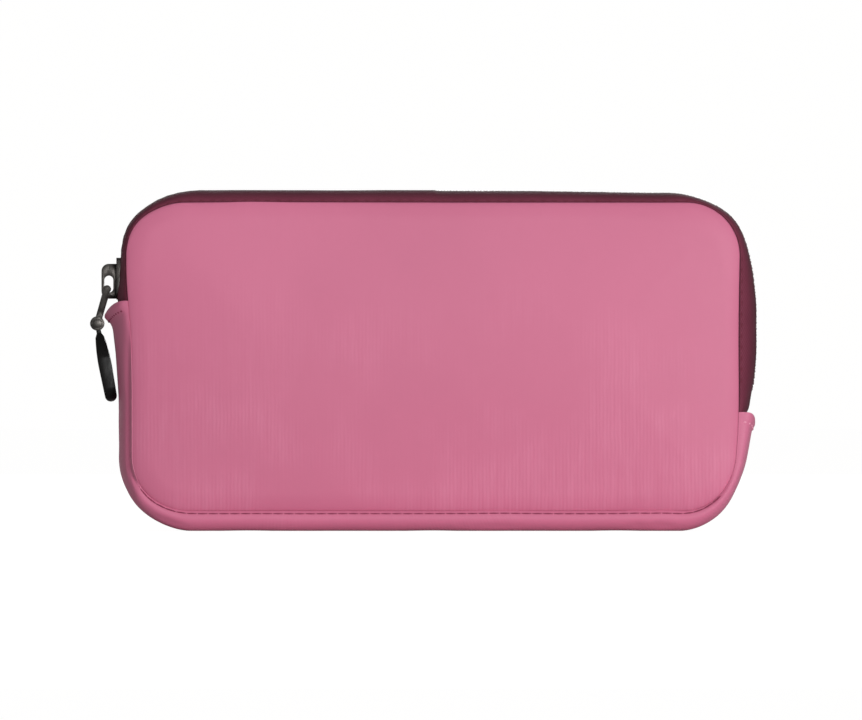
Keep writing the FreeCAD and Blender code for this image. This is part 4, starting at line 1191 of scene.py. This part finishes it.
net = grid("netPocket", pocket["columns"], pocket["rows"], pocketPlace)
editAll(net)
bpy.ops.mesh.inset(thickness=pocket["bar"], depth=0, use_individual=True)
bpy.ops.mesh.delete(type="FACE")
bpy.ops.object.mode_set(mode="OBJECT")
thicken(net, pocket["thick"], 0)
smoothShade(net, 50)
give(net, finishes["netCord"], "root", "pocket_mesh", ("mesh_pocket",))


edgingTube = {
    "columns": 260,
    "around": 14,
    "square": 0.4,
    "gather": (0.18 * mm, 1.3 * mm),          # the net's gathers show in it: how high, how wide
    "uvSize": (188 * mm, 9 * mm),
}


def edgingPlace(along, across):
    low, high = np.array(edgingBox[0]), np.array(edgingBox[1])
    middle, half = (low + high) / 2, (high - low) / 2
    x = high[0] * (2 * along - 1)
    turn = 2 * math.pi * across
    rise, width = edgingTube["gather"]
    gather = rise * np.sin(x / width) * np.sin(turn)
    y = middle[1] + half[1] * np.cos(turn) + gather * 0.5
    z = middle[2] + half[2] * signedPower(np.sin(turn), edgingTube["square"]) + gather
    return np.stack([x, y, z], 1)


edging = grid("pocketEdging", edgingTube["columns"], edgingTube["around"], edgingPlace, edgingTube["uvSize"])
closeTube(edging, capped=True)
give(edging, finishes["elastic"], "root", "elastic_webbing", ("pocket_edging",))
print("loops and pocket made")


# stitching: one stitch, copied along each seam

stitch = {
    "segments": 8,
    "rings": 6,
    "square": 0.7,
    "dive": 0.9,                 # both ends go this much of the radius down into the cloth
}
stitches = {                     # how long, from one to the next, how thick, how far out of the cloth
    "seam": {"long": 2.6 * mm, "pitch": 3.6 * mm, "radius": 0.28 * mm, "proud": -0.1 * mm},
    # the bottom row's stitches overlap into one continuous dark line: thread and painted groove shade
    "bottom": {"long": 3.8 * mm, "pitch": 3.5 * mm, "radius": 0.22 * mm, "proud": -0.02 * mm},
    "hem": {"long": 1.2 * mm, "pitch": 1.9 * mm, "radius": 0.34 * mm, "proud": 0.05 * mm},
    "tab": {"long": 2.1 * mm, "pitch": 2.9 * mm, "radius": 0.24 * mm, "proud": 0.05 * mm},
}
stitchRows = {
    "seamAlong": (0.03, 0.97, 900),           # from and to, of the strip, and by how many points
    "seamAcross": 0.055,
    "bottomAlong": (0.17, 0.9, 700),
    "bottomAcross": 0.012,
    "hemAcross": (0.05, 0.95, 160),
    "hemAside": 0.6,             # how much of the hem's thread's outward turn is to the front or back
    "tabShift": 1.4 * mm,        # each way from the tab's middle
    "tabEnds": 1 * mm,
    "tabPoints": 40,
}


def rowSpots(line, long, pitch):
    # evenly spaced places along a line of points, with the direction of the line there
    run = distanceAlong(line)
    count = int(run[-1] / pitch)
    middles = (np.arange(count) + 0.5) * run[-1] / count
    ends = [np.stack([np.interp(middles + shift, run, line[:, axis]) for axis in range(3)], 1)
            for shift in (-long / 2, long / 2)]
    return (ends[0] + ends[1]) / 2, ends[1] - ends[0]


def oneStitch(size):
    deselectAll()
    bpy.ops.mesh.primitive_uv_sphere_add(segments=stitch["segments"], ring_count=stitch["rings"], radius=1)
    made = bpy.context.object
    spots = points(made)
    share = signedPower(spots[:, 0], stitch["square"])
    spots = spots * size["radius"]
    spots[:, 0] = size["long"] / 2 * share
    spots[:, 2] -= size["radius"] * stitch["dive"] * share ** 2
    movePoints(made, spots)
    return made


def sewn(name, line, outward, kind, thread, slot="seam_binding", body="root"):
    # line is a row of points, outward the direction that the thread shows on at each
    size = stitches[kind]
    first = oneStitch(size)
    copies = []
    for middle, tangent in zip(*rowSpots(line, size["long"], size["pitch"])):
        ahead = Vector(tangent).normalized()
        up = Vector(outward[int(np.argmin(np.linalg.norm(line - middle, axis=1)))])
        up = (up - ahead * up.dot(ahead)).normalized()
        turned = Matrix((ahead, up.cross(ahead), up)).transposed()
        one = first.copy()
        one.data = first.data.copy()
        one.data.transform(Matrix.Translation(Vector(middle) + up * size["proud"]) @ turned.to_4x4())
        bpy.context.collection.objects.link(one)
        copies.append(one)
    bpy.data.objects.remove(first)
    deselectAll()
    for one in copies:
        one.select_set(True)
    bpy.context.view_layer.objects.active = copies[0]
    bpy.ops.object.join()
    row = bpy.context.object
    row.name = row.data.name = name
    makeActive(row)
    bpy.ops.object.shade_smooth()
    return give(row, finishes[thread], body, slot)


def clothRow(place, along, across):
    # a line of points on a cloth with its outward directions, from the cloth's own layout
    spots = place(along, across)
    step = 2e-3
    ahead = place(np.clip(along + step, 0, 1), across) - place(np.clip(along - step, 0, 1), across)
    aside = place(along, np.clip(across + step, 0, 1)) - place(along, np.clip(across - step, 0, 1))
    outward = np.cross(ahead, aside)
    outward /= np.maximum(np.linalg.norm(outward, axis=1, keepdims=True), 1e-12)
    outward *= np.sign(np.sum(outward * (spots - np.array(shape["middle"])), axis=1, keepdims=True))
    return spots, outward


def seamStitches():
    along = np.linspace(*stitchRows["seamAlong"])
    across = np.full(len(along), stitchRows["seamAcross"])
    for name, side, body in (("frontSeamStitches", -1, None), ("backSeamStitches", 1, "root")):
        place = bandPlace(tapeCrown, "over", folds, tapeSection(side), tapeOffset, tapeForward)
        row = sewn(name, *clothRow(place, along, across), "seam", "redThread", body=body)
        if not body:
            bendsAtFold(row)


def bottomStitchesAndSeamShade():
    # the thread that draws each panel's lower seam in; its stitches overlap into one dark line that also
    # stands in for the shade in the seam's groove, painted shade
    along = np.linspace(*stitchRows["bottomAlong"])
    for name, across in (("frontBottomStitchesAndShade", stitchRows["bottomAcross"]),
                         ("backBottomStitchesAndShade", 1 - stitchRows["bottomAcross"])):
        sewn(name, *clothRow(gussetPlace, along, np.full(len(along), across)), "bottom", "seamThread")


def hemStitches():
    # two short rows, one across each folded end of the gusset
    share = gussetStrip["hem"] / gussetStrip["flatLength"]
    for name, along, thread in (("leftHemStitches", share, "seamThread"),
                                ("rightHemStitches", 1 - share, "pinkThread")):
        spots = np.concatenate([gussetPlace(np.array([along]), np.array([across]))
                                for across in np.linspace(*stitchRows["hemAcross"])])
        outward = spots * np.array([1, stitchRows["hemAside"], 0])
        outward /= np.linalg.norm(outward, axis=1, keepdims=True)
        sewn(name, spots, outward, "hem", thread)


def tabStitches():
    # each tab of the elastic band is sewn down by two upright rows
    count, ends = stitchRows["tabPoints"], stitchRows["tabEnds"]
    line = np.zeros((count, 3))
    line[:, 1] = loopBox[1][1] - loops["thick"]
    line[:, 2] = np.linspace(loopBox[0][2] + ends, loopBox[1][2] - ends, count)
    for number in range(loops["count"] + 1):
        middle = loopBox[0][0] + number * (loops["tab"] + loops["wide"]) + loops["tab"] / 2
        for way, letter in ((-1, "a"), (1, "b")):
            line[:, 0] = middle + way * stitchRows["tabShift"]
            sewn(f"tabStitches{number}{letter}", line, np.tile([0, -1.0, 0], (count, 1)), "tab", "darkThread",
                 "elastic_webbing")


seamStitches()
bottomStitchesAndSeamShade()
hemStitches()
tabStitches()
print("stitching made")


# stage, light and camera

stage = {
    "floorSize": 16,
    "floorColour": (0.8, 0.79, 0.785, 1),
    "floorRough": 0.9,
    "floorGlow": (1.1, 0.88),    # how bright, and how much of what the camera sees it is
    "white": (1.0, 0.998, 0.996, 1),
    "roomLight": 0.27,           # the room is white to the camera, and dimmer as a light
    "roomMirrored": 0.3,         # and in reflections
}
lamps = {
    "keyLight": {"place": (0.8, -1.6, 0.22), "size": (0.8, 0.36), "power": 20.5},
    "fillLight": {"place": (0.1, -2.6, 0.36), "size": (1.2, 0.6), "power": 10.5},
    "topLight": {"place": (0.2, 0.1, 2.0), "size": (1.2, 1.0), "power": 4},
    "backLight": {"place": (0.0, 2.6, 0.5), "size": (1.2, 0.8), "power": 14},
}
camera = {"distance": 5.5, "pictureWidth": 0.2842, "aimX": -1.98 * mm, "aimZ": 56.2 * mm, "sensor": 36.0,
          "sees": (0.05, 20)}


def plainFloor():
    deselectAll()
    bpy.ops.mesh.primitive_plane_add(size=stage["floorSize"], location=(0, 0, 0))
    floor = bpy.context.object
    floor.name = "floor"
    paper = bpy.data.materials.new("paleFloor")
    paper.use_nodes = True
    tree = paper.node_tree
    principled = tree.nodes["Principled BSDF"]
    principled.inputs["Base Color"].default_value = stage["floorColour"]
    principled.inputs["Roughness"].default_value = stage["floorRough"]
    strength, seenShare = stage["floorGlow"]
    bright = node(tree, "Emission", {"Color": stage["white"], "Strength": strength})
    seen = product(tree, node(tree, "LightPath").outputs["Is Camera Ray"], seenShare)
    both = node(tree, "MixShader", {0: seen, 1: principled.outputs[0], 2: bright.outputs[0]})
    tree.links.new(both.outputs[0], tree.nodes["Material Output"].inputs[0])
    floor.data.materials.append(paper)


def softLight(name, place, size, power):
    light = bpy.data.lights.new(name, "AREA")
    light.shape = "RECTANGLE"
    light.size, light.size_y = size
    light.energy = power
    lamp = bpy.data.objects.new(name, light)
    bpy.context.collection.objects.link(lamp)
    lamp.location = place
    lamp.rotation_euler = (Vector(shape["middle"]) - Vector(place)).to_track_quat("-Z", "Y").to_euler()


def whiteRoom():
    world = bpy.data.worlds.new("whiteRoom")
    world.use_nodes = True
    tree = world.node_tree
    background = tree.nodes["Background"]
    path = node(tree, "LightPath").outputs
    dim = stage["roomLight"]
    seen = maths(tree, "MULTIPLY_ADD", path["Is Camera Ray"], 1.0 - dim, dim)
    shine = product(tree, path["Is Glossy Ray"], stage["roomMirrored"] - dim)
    tree.links.new(maths(tree, "ADD", seen, shine), background.inputs["Strength"])
    background.inputs["Color"].default_value = stage["white"]
    bpy.context.scene.world = world


plainFloor()
whiteRoom()
for name, lamp in lamps.items():
    softLight(name, **lamp)

lens = bpy.data.cameras.new("camera")
lens.sensor_width = camera["sensor"]
lens.lens = camera["sensor"] * camera["distance"] / camera["pictureWidth"]
lens.clip_start, lens.clip_end = camera["sees"]
view = bpy.data.objects.new("camera", lens)
bpy.context.collection.objects.link(view)
view.location = (camera["aimX"], -camera["distance"], camera["aimZ"])
view.rotation_euler = (math.pi / 2, 0, 0)
bpy.context.scene.camera = view
bpy.context.scene.view_settings.view_transform = "Standard"
print("stage, light and camera set")
